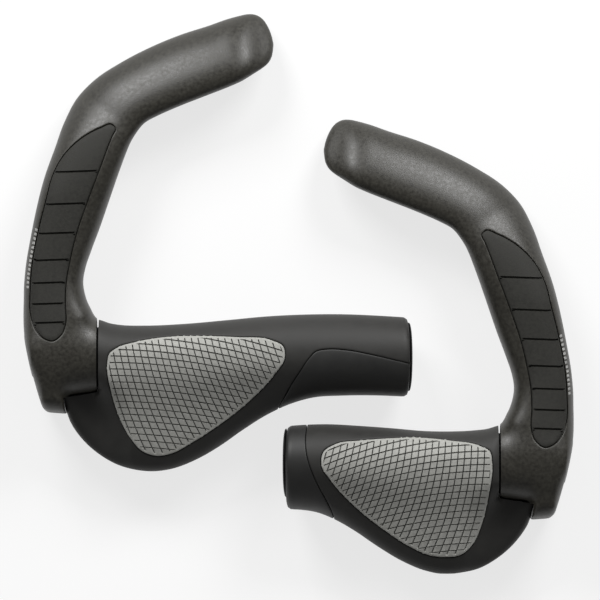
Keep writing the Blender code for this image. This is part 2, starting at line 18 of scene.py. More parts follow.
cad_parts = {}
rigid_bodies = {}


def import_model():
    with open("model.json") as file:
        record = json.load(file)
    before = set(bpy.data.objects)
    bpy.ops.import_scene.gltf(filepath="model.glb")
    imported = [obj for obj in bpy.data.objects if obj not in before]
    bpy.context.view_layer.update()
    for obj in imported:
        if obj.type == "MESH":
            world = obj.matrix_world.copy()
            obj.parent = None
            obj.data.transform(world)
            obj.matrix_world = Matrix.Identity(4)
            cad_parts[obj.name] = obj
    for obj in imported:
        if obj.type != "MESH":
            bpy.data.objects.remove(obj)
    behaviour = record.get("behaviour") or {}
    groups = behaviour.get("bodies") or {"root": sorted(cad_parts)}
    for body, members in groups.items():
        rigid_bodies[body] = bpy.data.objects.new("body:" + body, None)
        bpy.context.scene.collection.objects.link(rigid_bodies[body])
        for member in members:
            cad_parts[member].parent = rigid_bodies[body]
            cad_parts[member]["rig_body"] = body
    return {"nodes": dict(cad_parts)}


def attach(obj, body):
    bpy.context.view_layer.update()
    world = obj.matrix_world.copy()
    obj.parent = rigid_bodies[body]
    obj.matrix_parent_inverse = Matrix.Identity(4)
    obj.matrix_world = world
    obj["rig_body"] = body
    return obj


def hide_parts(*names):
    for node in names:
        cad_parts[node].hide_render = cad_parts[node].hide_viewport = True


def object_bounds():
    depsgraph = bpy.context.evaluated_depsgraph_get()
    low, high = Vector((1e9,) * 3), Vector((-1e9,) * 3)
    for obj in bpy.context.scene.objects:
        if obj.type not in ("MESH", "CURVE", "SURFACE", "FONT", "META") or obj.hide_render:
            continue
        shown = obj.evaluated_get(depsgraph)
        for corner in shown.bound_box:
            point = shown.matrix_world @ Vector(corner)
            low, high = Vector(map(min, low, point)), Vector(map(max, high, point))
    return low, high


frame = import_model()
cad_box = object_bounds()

MM = 0.001
SEAM_X = 85.7
LEFT_Y, RIGHT_Y = -26.97, -71.97
AXIS_HEIGHT = 17.32

GAP = 0.3
TURN_STEPS = 96
SMALL_STEPS = 48
SLIVER = 0.003
INSIDE_BOX = 0.02  # how far the pieces stay inside the part's own box
FLOOR_GAP = 0.05
SHARP_ANGLE = 38

# Camera: straight down on the middle of the pair.
LENS = 500.0
FRAME_WIDTH = 255.0
AIM = (0.6, -2.8)
CLIP_END = 100

# Studio, in metres.
FLOOR_REACH, FLOOR_GLOW = 40, 0.74
LIGHT_AT, LIGHT_SIZE, LIGHT_POWER = (0.5, 0.85, 0.6), (0.5, 0.34), 9.8
SKY = 0.2

# Sleeve, clamp and cap, as in the part.
BORE_R, SLEEVE_R, SLEEVE_OUTBOARD = 11.2, 12.6, -24.0
STOP_LIP, STOP_LIP_R = 1.5, 9.5
FLANGE_R, FLANGE_THICK = 14.6, 0.8
COLLET_SLIT, COLLET_END = 1.2, -9.0
COLLAR_R, COLLAR_SEAM_R = 17.1, 15.3
COLLAR_EXTRA = 2.5  # how far the collar is made too long, before its end is cut square
BAND_R, BAND_U = 15.2, (-24.5, -11.5)
EAR_U, EAR_END, EAR_W = (-22.0, -15.6), -20.6, (-8.0, 6.5)
HEEL_SLIT = 1.2
SCREW_U, SCREW_V, SCREW_R, THREAD_PITCH = -18.8, -17.4, 2.0, 0.7
HEAD_R, HEAD_HIGH, HEX_ACROSS, HEX_DEEP = 3.5, 4.0, 3.0, 2.2
WASHER_THICK, NUT_HIGH = 0.8, 3.2
CAP_R, CAP_BACK_U = 10.5, -25.0
CAP_FACE_U, CAP_FACE_SLOPE = -28.8, -0.21
CAP_FACE = [  # (radius, height) of its outer face
    (0, 0.15), (3, 0.17), (5.5, 0.32), (7.2, 0.42), (7.6, 0.4), (7.75, 0.0), (8.15, 0.0),
    (8.3, 0.34), (9.4, 0.16), (10.1, -0.04), (10.4, -0.22), (10.5, -0.5),
]
FINGER_R, FINGER_END = (7.4, 9.2), -22.2

# Bar end.
ARM = [
    (-21.0, -23.6, -12.4, -24.2, 7.6, -3.6, 3.6),
    (-22.8, -21.8, -12.6, -22.6, 11.6, -2.6, 4.6),
    (-24.0, -19.2, -13.3, -19.8, 13.6, -1.6, 5.0),
    (-25.2, -15.2, -14.0, -16.4, 14.8, -1.0, 4.4),
    (-26.7, -9.6, -12.5, -10.6, 15.9, -0.3, 5.0),
    (-28.4, -3.0, -7.0, -3.0, 16.6, 0.0, 5.5),
    (-30.0, 4.0, -2.2, 4.0, 16.6, 0.0, 4.8),
    (-31.0, 11.5, -0.3, 10.5, 15.0, 0.0, 3.6),
    (-31.2, 18.0, -1.3, 17.5, 14.0, -0.1, 3.0),
    (-31.1, 24.0, -4.3, 24.0, 13.2, -0.3, 2.8),
    (-31.0, 30.3, -5.8, 30.5, 12.6, -0.6, 2.7),
    (-30.2, 39.1, -5.1, 37.0, 12.2, -1.1, 2.7),
    (-28.5, 49.3, -2.3, 45.5, 12.1, -1.7, 2.7),
    (-25.9, 62.5, 1.3, 55.2, 12.2, -2.4, 2.7),
    (-22.5, 76.1, 5.7, 68.0, 12.3, -3.1, 2.6),
    (-17.9, 89.3, 10.2, 80.8, 12.1, -4.1, 2.5),
    (-14.0, 100.3, 14.0, 90.5, 11.7, -5.2, 2.4),
    (-8.9, 110.1, 16.8, 95.2, 11.3, -5.9, 2.3),
    (-0.9, 118.4, 20.2, 99.3, 11.1, -6.1, 2.3),
    (9.8, 125.4, 25.7, 102.4, 11.1, -6.1, 2.3),
    (22.5, 132.0, 35.3, 106.6, 11.1, -6.1, 2.3),
    (35.3, 137.3, 46.3, 110.9, 11.1, -6.1, 2.3),
    (48.0, 141.4, 57.0, 115.1, 10.9, -6.2, 2.3),
    (55.0, 143.9, 61.8, 117.3, 10.5, -6.4, 2.4),
    (60.0, 145.3, 65.2, 119.4, 9.7, -7.0, 2.4),
    (63.6, 146.1, 67.7, 121.0, 8.5, -7.6, 2.4),
    (66.8, 146.1, 70.2, 122.6, 7.0, -8.1, 2.4),
    (70.0, 144.5, 72.5, 124.5, 5.5, -8.4, 2.4),
    (72.5, 141.2, 74.1, 126.9, 4.0, -8.6, 2.3),
    (74.2, 137.2, 74.9, 129.9, 2.3, -8.7, 2.2),
]  # (outboard u, v, inboard u, v, half-thickness, middle height, squareness) from heel to tip
ARM_TIP = (75.1, 133.5, -8.7)
ARM_STEPS, ARM_SIDES = 6, 72
VOXEL = 0.6
HOUSING_HIGH = 16.4
FILLET, FILLET_FADE = 4.6, 1.5  # reach of the soft fillet from the parts that meet, and its fading out
FILLET_END_U = 2.2  # it has faded out here, towards the seam
FILLET_ROUNDS, POLISH_ROUNDS = (0.9, 90), (0.6, 4)  # (weight, rounds) of relaxing
LIMB_TILT = 0.45  # how steeply the upper limb's section rises towards its rear side
LIMB_TILT_V = (70.0, 112.0)  # the tilt grows between these
HEEL_FACE = ((-14.45, 17.4), (-12.4, 30.0))  # (u, radius) of the cone that ends the heel
TOE = [
    (-14.9, -16.5, -9.5, -16.5, 3.5, -6.6, 6.0),
    (-14.9, -20.0, -9.5, -20.5, 4.5, -6.6, 6.0),
    (-14.9, -23.3, -9.5, -24.0, 3.8, -6.6, 6.0),
]  # the heel's low step towards the lobe, in the same terms as the arm
ARM_PAD = [  # (u, v) round the inlays
    (8.1, 97.0), (6.6, 93.3), (1.4, 79.3), (-4.2, 64.3), (-8.3, 52.1), (-11.1, 40.3), (-12.6, 31.4),
    (-12.9, 22), (-12.7, 14.5), (-14.6, 9.3), (-18.4, 6.6), (-22.6, 8.0), (-25.9, 11.8),
    (-27.9, 17.5), (-28.2, 28), (-27.2, 41), (-24.6, 54.5), (-21.7, 66.3), (-18.9, 77.0),
    (-15.4, 84.0), (-7.5, 92.3), (1.5, 97.4), (6.2, 98.9),
]
PATCH_REACH = 1.4
ARM_RIM_RINGS = [(-0.02, 1.2), (0.0, 0.4), (0.12, 0.14), (0.32, 0.03), (0.62, 0.0)]
ARM_PAD_RINGS = [(-0.32, 0.9), (-0.34, 0.3), (-0.48, 0.03), (-0.75, -0.1)]
CROSS_GROOVES = (78.2, 64.6, 52.3, 41.0, 31.4, 22.5, 14.5)
CROSS_RISE = 0.035
CROSS_WIDTH, CROSS_DEEP = 1.05, 0.9
RECESS_GRID, PAD_GRID = 2.5, (1.5, 1.3)
MARKS_V = (29.0, 55.0)
MARK_PITCH, MARK_LONG, MARK_SLANT, MARK_PROUD = 1.9, 1.1, 0.25, 0.03
MARK_GRID = 3
MARK_ANGLES = (138, 146)  # round the arm's section, from its inboard side over the top

# The grip's shape.
BODY_START, LOBE_START = 0.85, -14.5
# (u, radius) of the bar end's sweep and its gap.
CLEARANCE = [(-30, 19.0), (-13.8, 18.3), (-2, 16.2), (0.85, 16.1)]
END_ROUND = 2.2
END_LEAN, END_LEAN_LONG = 0.06, 12.0  # the inboard end leans outwards at its top, over this length
RUBBER_BORE_R = 12.9
WING_DROOP = 2.5
WING_TOP = (0.24, 0.50, 2.3)  # share of the height kept at the back, where it has fallen, how steeply
WING_BOTTOM = (0.36, 0.33, 3.0)
LOBE_TOP = (0.20, 0.33, 6.0)
NOTCH = ((-14.2, 0.8), (-17.3, -15.4))  # the lobe keeps behind a line: its ends' u, then their v
NOTCH_LOWER = 3.2  # how much further forward that line lies on the underside
EDGE_LEAN = 0.6  # how far the outboard edge draws back in front
LOBE_END = (0.16, 17.4)  # the lobe's end draws back this much for each millimetre beyond a radius
LOBE_BLEND = (-1.0, 15.0)  # the wing's top changes from the lobe's shape to its own between these
WING_NOSE = 9.0
TUBE_REAR, WING_REAR = 17.0, 48.7
GIRTH = 20.0  # millimetres of skin for each radian round the grip, roughly
SKIN_FACET, SKIN_ROWS = 1.7, 150
EDGE_CLEAR = 1.35  # inner points keep this far from every edge
END_RETURN = 4  # how far the inboard end's skin goes back down the bore

# Rings beside an edge: (distance from it, depth below the skin).
SEAM_RINGS = [(0.14, 1.0), (0.16, 0.34), (0.27, 0.12), (0.48, 0.03), (0.85, 0.0)]
RIM_RINGS = [(0.14, 1.25), (0.16, 0.40), (0.30, 0.13), (0.58, 0.03), (1.0, 0.0)]
LOBE_RINGS = [(0.0, 0.5), (0.07, 0.28), (0.24, 0.1), (0.5, 0.02), (0.85, 0.0)]
PAD_RINGS = [(-0.14, 0.9), (-0.16, 0.12), (-0.25, -0.12), (-0.4, -0.25), (-0.62, -0.3)]
PAD_PROUD = 0.3
TILE_DEEP = 1.0
TILE_BORDER = 1.05
GROOVE_TOP, GROOVE_FLOOR = 0.52, 0.26  # widths of a groove between tiles
TILE_ROWS, TILE_COLUMNS = range(-22, 12), range(-8, 34)
TILE_U, TILE_V = 7, 4  # where column 0 starts
ROW_BEND_U = 5  # the rows bend inboard of this
SCORE_STEP = 1.1

LONG = {
    "end": 132.1,
    "front": [
        (-16, 13.4), (-6, 14.0), (0.8, 16.5), (1.9, 15.95), (3, 15.2), (4.5, 14.6), (10, 13.6),
        (20, 13.3), (38, 14.1), (56, 15.7), (72, 17.2), (88, 18.0), (106, 18.1), (120, 17.5),
        (133, 16.7),
    ],
    "rear": [
        (-14.4, 21.4), (-13.0, 24.2), (-9.8, 30.4), (-4.8, 36.6), (2, 42.2), (9, 46.0), (16, 48.0),
        (24, 48.7), (32, 47.6), (42, 43.8), (52, 38.1), (62, 31.1), (72, 24.8), (82, 20.1),
        (92, 17.3), (104, 16.5), (118, 16.4), (133, 17.0),
    ],
    "top": [(-16, 13.2), (0.8, 15.0), (20, 15.9), (50, 16.3), (88, 17.0), (118, 16.9), (133, 16.6)],
    "palm": [
        (4.6, -2), (5.3, 1.2), (9.2, 4.3), (16, 6.4), (30, 8.7), (44, 9.1), (60, 8.6), (74, 7.4),
        (79.3, 4.6), (80.0, -0.5), (75.9, -7.1), (66, -17.9), (53, -28.4), (40.1, -36.8),
        (32, -41.1), (26, -42.2), (19.8, -40.5), (13.8, -34), (9.2, -25), (6.2, -15),
    ],
    "panel": [
        (76.4, -24), (77.6, -21), (79.6, -17.4), (83, -11.1), (86.4, -6), (89.8, -0.9), (93, 2.4),
        (97.8, 3.4), (106, 3.0), (115, 1.4), (126.3, -1.4), (134, -3.4),
    ],
    # Tile rows: first row's v, pitch, bend. Columns: pitch, lean and its growth, bend and its growth.
    "rows": (-2.26, 2.73, 0.0021),
    "columns": (2.85, 0.17, 0.0026, 0.0033, 0.00004),
}
SHORT = {
    "end": 90.6,
    "front": [
        (-16, 13.4), (-6, 14.0), (0.8, 16.5), (1.9, 15.95), (3, 15.2), (4.5, 14.7), (11, 13.8),
        (20, 13.35), (32, 13.5), (46, 14.7), (60, 15.7), (74, 16.4), (84, 16.1), (92, 15.5),
    ],
    "rear": [
        (-14.4, 21.4), (-13.0, 24.0), (-9.8, 29.5), (-4.8, 35.6), (2, 41.2), (9, 45.0), (16, 46.7),
        (24, 47.4), (32, 45.9), (42, 41.7), (52, 35.7), (62, 28.9), (70, 24.3), (78, 21.1),
        (85, 20.0), (92, 19.8),
    ],
    "top": [(-16, 13.2), (0.8, 15.0), (20, 15.9), (50, 16.3), (74, 16.5), (92, 16.2)],
    "palm": [
        (3.6, 0), (4.6, 5.2), (9, 7.6), (21.8, 9.8), (35, 11.0), (48, 10.7), (60, 9.8), (70, 8.4),
        (75.4, 4.8), (76.2, -0.7), (72, -7.6), (62.1, -18.4), (50, -28.2), (38, -36), (30, -39.4),
        (23.6, -40.1), (16.4, -39), (11.2, -34), (7.8, -26), (4.9, -13),
    ],
    "panel": [
        (82.1, 24), (82.1, 16.5), (82.4, 9.5), (81.7, 3), (80.1, -2.8), (77, -10.3), (73.5, -16.8),
        (71.3, -22), (70.4, -26),
    ],
    "rows": (-0.44, 2.77, 0.0029),
    "columns": (2.8, 0.03, 0.0037, 0.0042, 0.00003),
}


def smooth_curve(points, steps, closed=False):
    """Points along a cubic curve through the given ones, `steps` for each span between them."""
    p = np.array(points, float)
    if closed:
        p = np.vstack([p[-1], p, p[:2]])
    else:
        p = np.vstack([2 * p[0] - p[1], p, 2 * p[-1] - p[-2]])
    chord = np.linalg.norm(np.diff(p, axis=0), axis=1)
    t = (np.arange(steps) / steps)[:, None]
    spans = []
    for i in range(1, len(p) - 2):
        before, here, after = chord[i - 1 : i + 2]
        step = p[i + 1] - p[i]
        leave = here * ((p[i] - p[i - 1]) / before - (p[i + 1] - p[i - 1]) / (before + here)) + step
        arrive = here * ((p[i + 2] - p[i + 1]) / after - (p[i + 2] - p[i]) / (here + after)) + step
        spans.append(
            (2 * t**3 - 3 * t**2 + 1) * p[i]
            + (t**3 - 2 * t**2 + t) * leave
            + (3 * t**2 - 2 * t**3) * p[i + 1]
            + (t**3 - t**2) * arrive
        )
    if not closed:
        spans.append(p[-2:-1])
    return np.vstack(spans)


def evenly(curve, spacing, closed=False):
    """A polyline resampled at equal spacing."""
    p = np.array(curve, float)
    if closed:
        p = np.vstack([p, p[:1]])
    run = np.concatenate([[0], np.cumsum(np.linalg.norm(np.diff(p, axis=0), axis=1))])
    count = max(2, int(round(run[-1] / spacing)))
    at = np.linspace(0, run[-1], count, endpoint=False) if closed else np.linspace(0, run[-1], count + 1)
    return np.column_stack([np.interp(at, run, p[:, k]) for k in range(p.shape[1])])


def offset(outline, distance):
    """A closed plan outline moved outwards by a distance."""
    p = np.array(outline, float)
    along = np.roll(p, -1, axis=0) - np.roll(p, 1, axis=0)
    along /= np.linalg.norm(along, axis=1)[:, None]
    area = np.sum(p[:, 0] * np.roll(p[:, 1], -1) - np.roll(p[:, 0], -1) * p[:, 1])
    outwards = np.column_stack([along[:, 1], -along[:, 0]]) * np.sign(area)
    return p + outwards * distance


def inside(points, outline):
    """Which of the plan points lie inside a closed outline."""
    points = np.atleast_2d(points)
    a = np.array(outline, float)
    b = np.roll(a, -1, axis=0)
    u, v = points[:, :1], points[:, 1:2]
    spans = (a[:, 1] > v) != (b[:, 1] > v)
    with np.errstate(divide="ignore", invalid="ignore"):
        crossing = a[:, 0] + (v - a[:, 1]) * (b[:, 0] - a[:, 0]) / (b[:, 1] - a[:, 1])
    return np.sum(spans & (crossing > u), axis=1) % 2 == 1


def nearest(points, targets):
    """Distance of each point from the closest target."""
    best = np.full(len(points), 1e9)
    for start in range(0, len(targets), 64):
        some = targets[start : start + 64]
        gap = np.linalg.norm(points[:, None, :] - some[None, :, :], axis=2).min(axis=1)
        best = np.minimum(best, gap)
    return best


class Plan:
    """Points, lines and a boundary to be triangulated, each with a depth that the finished vertices keep."""

    def __init__(self):
        self.points = []
        self.depths = []
        self.edges = []
        self.face = []

    def add(self, points, depth=0.0):
        start = len(self.points)
        self.points += [Vector(p) for p in points]
        self.depths += list(np.broadcast_to(depth, len(points)))
        return list(range(start, start + len(points)))

    def line(self, points, depth=0.0, closed=False):
        ids = self.add(points, depth)
        self.edges += list(zip(ids, ids[1:] + ids[:1] if closed else ids[1:]))
        return ids

    def boundary(self, points, depth=0.0):
        self.face = self.add(points, depth)

    def triangulate(self):
        """(vertices, depths, triangles). A depth is NaN where two lines cross."""
        points, _, faces, origins, *_ = delaunay_2d_cdt(self.points, self.edges, [self.face], 1, 1e-5)
        depths = [max((self.depths[i] for i in ids), default=math.nan) for ids in origins]
        return np.array([tuple(p) for p in points]), np.array(depths), np.array(faces)


def rimmed_plan(outline, rings):
    """A plan bounded by the first of an outline's rings, with a line along each of the others."""
    plan = Plan()
    plan.boundary(offset(outline, rings[0][0]), rings[0][1])
    for distance, depth in rings[1:]:
        plan.line(offset(outline, distance), depth, closed=True)
    return plan


def sheet(points, faces):
    bm = bmesh.new()
    made = [bm.verts.new(p) for p in points]
    for face in faces:
        bm.faces.new([made[i] for i in face])
    return bm


def faced(bm):
    bmesh.ops.recalc_face_normals(bm, faces=bm.faces)
    return bm


def scene_object(name, data):
    obj = bpy.data.objects.new(name, data)
    bpy.context.scene.collection.objects.link(obj)
    return obj


# The grip's skin.


def profile(points):
    curve = smooth_curve(points, 24)
    return lambda u: np.interp(u, curve[:, 0], curve[:, 1])


def wing_share(s, flat, knee, steepness):
    """Share of the grip's height at a share s of the way back along its wing."""
    return ((1 - flat) / (1 + (s / knee) ** steepness) + flat) * np.sqrt(np.clip(1 - s**WING_NOSE, 0, 1))


class Skin:
    """The grip's outer surface. x runs along it and round the inboard end; a is the angle round it:
    0 in front, pi / 2 on top, pi at the back and 3 pi / 2 underneath."""

    def __init__(self, size):
        self.front = profile(size["front"])
        self.rear = profile(size["rear"])
        self.top = profile(size["top"])
        self.round_start = size["end"] - END_ROUND
        self.end = self.round_start + END_ROUND * math.pi / 2

    def x_of(self, u):
        over = np.clip((u - self.round_start) / END_ROUND, 0, 1)
        return np.where(u > self.round_start, self.round_start + END_ROUND * np.arcsin(over), u)

    def angle_of(self, u, v, under=False):
        """The angle at a plan point of the upper or the lower side."""
        share = np.where(v > 0, v / self.front(u), v / self.rear(u))
        t = np.arcsin(np.clip(share, -1, 1))
        return 1.5 * math.pi + t if under else 0.5 * math.pi - t

    def at(self, x, a):
        turn = np.clip((x - self.round_start) / END_ROUND, 0, math.pi / 2)
        u = np.minimum(x, self.round_start) + END_ROUND * np.sin(turn)
        inset = END_ROUND * (1 - np.cos(turn))
        a = np.mod(a, 2 * math.pi)
        over = a <= math.pi
        t = np.where(over, 0.5 * math.pi - a, a - 1.5 * math.pi)
        across, tube = np.sin(t), np.cos(t)
        s = np.clip(-across, 0, 1)
        wing = np.interp(self.rear(u), (TUBE_REAR, WING_REAR), (0, 1))
        wing = wing * (2 - wing)
        blend = np.interp(u, LOBE_BLEND, (0, 1))
        top_shape = [p + (q - p) * blend for p, q in zip(LOBE_TOP, WING_TOP)]
        share = np.where(over, wing_share(s, *top_shape), wing_share(s, *WING_BOTTOM))
        high = self.top(u) * np.where(across > 0, tube, (1 - wing) * tube + wing * share)
        v = across * np.where(across > 0, self.front(u), self.rear(u))
        w = np.where(over, high, -high) - WING_DROOP * wing * s * s
        shrink = 1 - inset / np.maximum(np.hypot(v, w), 1e-6)
        lean = END_LEAN * np.clip((u - self.round_start) / END_LEAN_LONG + 1, 0, 1)
        return np.stack([u + lean * w * shrink, v * shrink, w * shrink], axis=-1)

    def slopes(self, x, a, step=0.02):
        along = (self.at(x + step, a) - self.at(x - step, a)) / (2 * step)
        turn = step / GIRTH
        around = (self.at(x, a + turn) - self.at(x, a - turn)) / (2 * turn)
        return along, around

    def normal(self, x, a):
        along, around = self.slopes(x, a)
        out = np.cross(around, along)
        out /= np.maximum(np.linalg.norm(out, axis=-1, keepdims=True), 1e-9)
        radial = self.at(x, a) * (0, 1, 1)
        side = np.sign(np.sum(out * radial, axis=-1, keepdims=True))
        return out * np.where(side == 0, 1, side)

    def shifted(self, curve, distance, closed=False):
        """A curve of (x, a) points moved sideways across the skin, by a distance in millimetres."""
        x, a = curve[:, 0], curve[:, 1]
        if closed:
            step = np.roll(curve, -1, axis=0) - np.roll(curve, 1, axis=0)
        else:
            step = np.gradient(curve, axis=0)
        along, around = self.slopes(x, a)
        tangent = along * step[:, :1] + around * step[:, 1:]
        sideways = np.cross(self.normal(x, a), tangent)
        sideways /= np.linalg.norm(sideways, axis=1)[:, None]
        aa, ab, bb = (np.sum(p * q, axis=1) for p, q in ((along, along), (along, around), (around, around)))
        pa, pb = np.sum(sideways * along, axis=1), np.sum(sideways * around, axis=1)
        det = aa * bb - ab * ab
        move = np.column_stack([(pa * bb - pb * ab) / det, (pb * aa - pa * ab) / det])
        return curve + move * distance

    def edge(self, spacing=0.45, soften=0.7):
        """The grip's outboard edge, where the bar end's sweep cuts it, as (x, a) points."""
        u = np.linspace(BODY_START, LOBE_START, 400)
        room = np.interp(u, *zip(*CLEARANCE))
        edge = []
        for a in np.linspace(0, 2 * math.pi, 721):
            point = self.at(u, np.full_like(u, a))
            reach = np.hypot(point[:, 1], point[:, 2])
            notch = np.interp(u, *NOTCH) + (NOTCH_LOWER if a > math.pi else 0)
            past_end = u < LOBE_START + LOBE_END[0] * (reach - LOBE_END[1])
            blocked = (reach < room) | (point[:, 1] > notch) | past_end
            blocked[0] = False
            edge.append((u[np.argmax(blocked) - 1] if blocked.any() else u[-1], a))
        edge = np.array(edge)
        edge[:, 0] += EDGE_LEAN * np.clip(np.cos(edge[:, 1]), 0, 1) ** 5
        run = np.linalg.norm(np.diff(self.at(edge[:, 0], edge[:, 1]), axis=0), axis=1)
        run = np.concatenate([[0], np.cumsum(run)])
        at = np.linspace(0, run[-1], int(run[-1] / spacing))
        edge = np.column_stack([np.interp(at, run, edge[:, k]) for k in range(2)])
        reach = int(3 * soften / spacing)
        bell = np.exp(-0.5 * (np.arange(-reach, reach + 1) * spacing / soften) ** 2)
        for k in range(2):
            edge[reach:-reach, k] = np.convolve(edge[:, k], bell / bell.sum(), "valid")
        return edge


def build_skin(size):
    """The rubber body's and the inner panel's surfaces: {name: (vertices, faces)}."""
    skin = Skin(size)
    turn = math.tau
    plan = Plan()

    def scaled(curve):
        return np.asarray(curve) * (1, GIRTH)

    edge = skin.edge()
    far = skin.end
    columns = np.linspace(edge[0, 0], far, int((far - edge[0, 0]) / SKIN_FACET))[1:-1]
    rows = np.linspace(turn, 0, SKIN_ROWS)
    outline = np.vstack([
        edge,
        np.column_stack([columns, np.full_like(columns, turn)]),
        np.column_stack([np.full_like(rows, far), rows]),
        np.column_stack([columns[::-1], np.zeros_like(columns)]),
    ])
    depths = np.zeros(len(outline))
    depths[: len(edge)] = LOBE_RINGS[0][1]
    plan.boundary(scaled(outline), depths)
    for distance, depth in LOBE_RINGS[1:]:
        ring = skin.shifted(edge, -distance)
        ring[0, 1], ring[-1, 1] = 0, turn
        plan.line(scaled(ring), depth)

    palm = evenly(smooth_curve(size["palm"], 12, closed=True), 0.8, closed=True)
    palm = np.column_stack([palm[:, 0], skin.angle_of(palm[:, 0], palm[:, 1])])
    side = 1 if inside(skin.shifted(palm, 0.5, closed=True)[:1], palm)[0] else -1
    for distance, depth in RIM_RINGS:
        plan.line(scaled(skin.shifted(palm, -side * distance, closed=True)), depth, closed=True)
    floor = skin.shifted(palm, side * 0.3, closed=True)
    plan.line(scaled(floor), RIM_RINGS[0][1], closed=True)

    seam = smooth_curve(size["panel"], 10)
    seam = seam[np.abs(seam[:, 1]) < np.where(seam[:, 1] > 0, skin.front(seam[:, 0]), skin.rear(seam[:, 0]))]
    seam = seam[seam[:, 0] < size["end"]]
    upper = np.column_stack([skin.x_of(seam[:, 0]), skin.angle_of(seam[:, 0], seam[:, 1])])
    lower = np.column_stack([skin.x_of(seam[:, 0]), skin.angle_of(seam[:, 0], seam[:, 1], under=True)])
    wraps = size["panel"][0][1] > 0  # the short grip's seam goes right round, the long one's is a bay
    if wraps:
        first, middle = upper[:1] * (1, 0), (upper[-1:] * (1, 0) + lower[-1:] * (1, 0)) / 2 + (0, math.pi)
        seam = np.vstack([first, upper, middle, lower[::-1], lower[:1] * (1, 0) + (0, turn)])
    else:
        middle = upper[:1] * (1, 0) + (0, math.pi)
        ends = np.array([(far, upper[-1, 1] + 0.02)]), np.array([(far, lower[-1, 1] - 0.02)])
        seam = np.vstack([ends[0], upper[::-1], middle, lower, ends[1]])
    seam = evenly(scaled(seam), 0.8) / (1, GIRTH)
    gap_lines = {}
    for distance, depth in SEAM_RINGS:
        for sign in (-1, 1):
            ring = skin.shifted(seam, sign * distance)
            if wraps:
                ring[0, 1], ring[-1, 1] = 0, turn
                ring[-1, 0] = ring[0, 0]
            else:
                ring = ring[ring[:, 0] < far - 0.01]
                ring = np.vstack([(far, ring[0, 1]), ring, (far, ring[-1, 1])])
            plan.line(scaled(ring), depth)
            if distance == SEAM_RINGS[0][0]:
                gap_lines[sign] = ring

    lattice = []
    for i, x in enumerate(np.arange(LOBE_START, far - 0.8, SKIN_FACET * 0.87)):
        shift = SKIN_FACET / 2 * (i % 2)
        lattice += [(x, (y + shift) / GIRTH) for y in np.arange(1.0, turn * GIRTH - 1.2, SKIN_FACET)]
    lattice = np.array(lattice)
    features = np.vstack([edge, palm, seam])
    solid_points = skin.at(lattice[:, 0], lattice[:, 1])
    clear = nearest(solid_points, skin.at(features[:, 0], features[:, 1])) > EDGE_CLEAR
    within = inside(lattice, outline)
    lattice = lattice[clear & within]
    in_palm = inside(lattice, palm)
    plan.add(scaled(lattice), np.where(in_palm, RIM_RINGS[0][1], 0.0))

    vertices, depths, faces = plan.triangulate()
    flat = vertices / (1, GIRTH)
    lost = np.isnan(depths)
    for i in np.nonzero(lost)[0]:
        gap = np.linalg.norm(vertices[~lost] - vertices[i], axis=1)
        depths[i] = depths[~lost][np.argmin(gap)]
    solid_points = skin.at(flat[:, 0], flat[:, 1])
    normals = skin.normal(flat[:, 0], flat[:, 1])
    solid_points = solid_points - normals * depths[:, None]

    centres = flat[faces].mean(axis=1)
    if wraps:
        limits = [np.interp(centres[:, 1], line[:, 1], line[:, 0]) for line in gap_lines.values()]
        outboard = np.minimum(*limits)
        parts = {"panel": centres[:, 0] > outboard, "body": centres[:, 0] < outboard}
    else:
        bay = inside(centres, min(gap_lines.values(), key=lambda line: line[:, 0].min()))
        parts = {"panel": bay, "body": ~bay}
    return {name: end_ring(solid_points, faces[chosen], skin) for name, chosen in parts.items()}


def end_ring(vertices, faces, skin):
    """Closes a skin's outboard and inboard edges down to the bore."""
    bm = sheet(vertices, faces)
    bmesh.ops.remove_doubles(bm, verts=bm.verts, dist=0.02)
    loose = [v for v in bm.verts if not v.link_faces]
    bmesh.ops.delete(bm, geom=loose, context="VERTS")
    end = skin.round_start + END_ROUND - 0.02
    rim = [e for e in bm.edges
           if e.is_boundary and min(v.co.x - END_LEAN * v.co.z for v in e.verts) > end]
    for inwards in (0, END_RETURN):
        made = bmesh.ops.extrude_edge_only(bm, edges=rim)["geom"]
        rim = [g for g in made if isinstance(g, bmesh.types.BMEdge)]
        for v in {v for e in rim for v in e.verts}:
            scale = RUBBER_BORE_R / math.hypot(v.co.y, v.co.z)
            v.co = (v.co.x + END_LEAN * v.co.z * (scale - 1) - inwards, v.co.y * scale, v.co.z * scale)
    lobe = [e for e in bm.edges if e.is_boundary and max(v.co.x for v in e.verts) < BODY_START + 0.4]
    for step in (0, 0.25, 0.5, 0.75, 1.0, None):
        made = bmesh.ops.extrude_edge_only(bm, edges=lobe)["geom"]
        lobe = [g for g in made if isinstance(g, bmesh.types.BMEdge)]
        for v in {v for e in lobe for v in e.verts}:
            reach = math.hypot(v.co.y, v.co.z)
            if step is None:
                u, radius = BODY_START, RUBBER_BORE_R
            else:
                u = v.co.x + (BODY_START - v.co.x) * step
                radius = min(reach, float(np.interp(u, *zip(*CLEARANCE))))
            v.co = (u, v.co.y * radius / reach, v.co.z * radius / reach)
    return faced(bm)


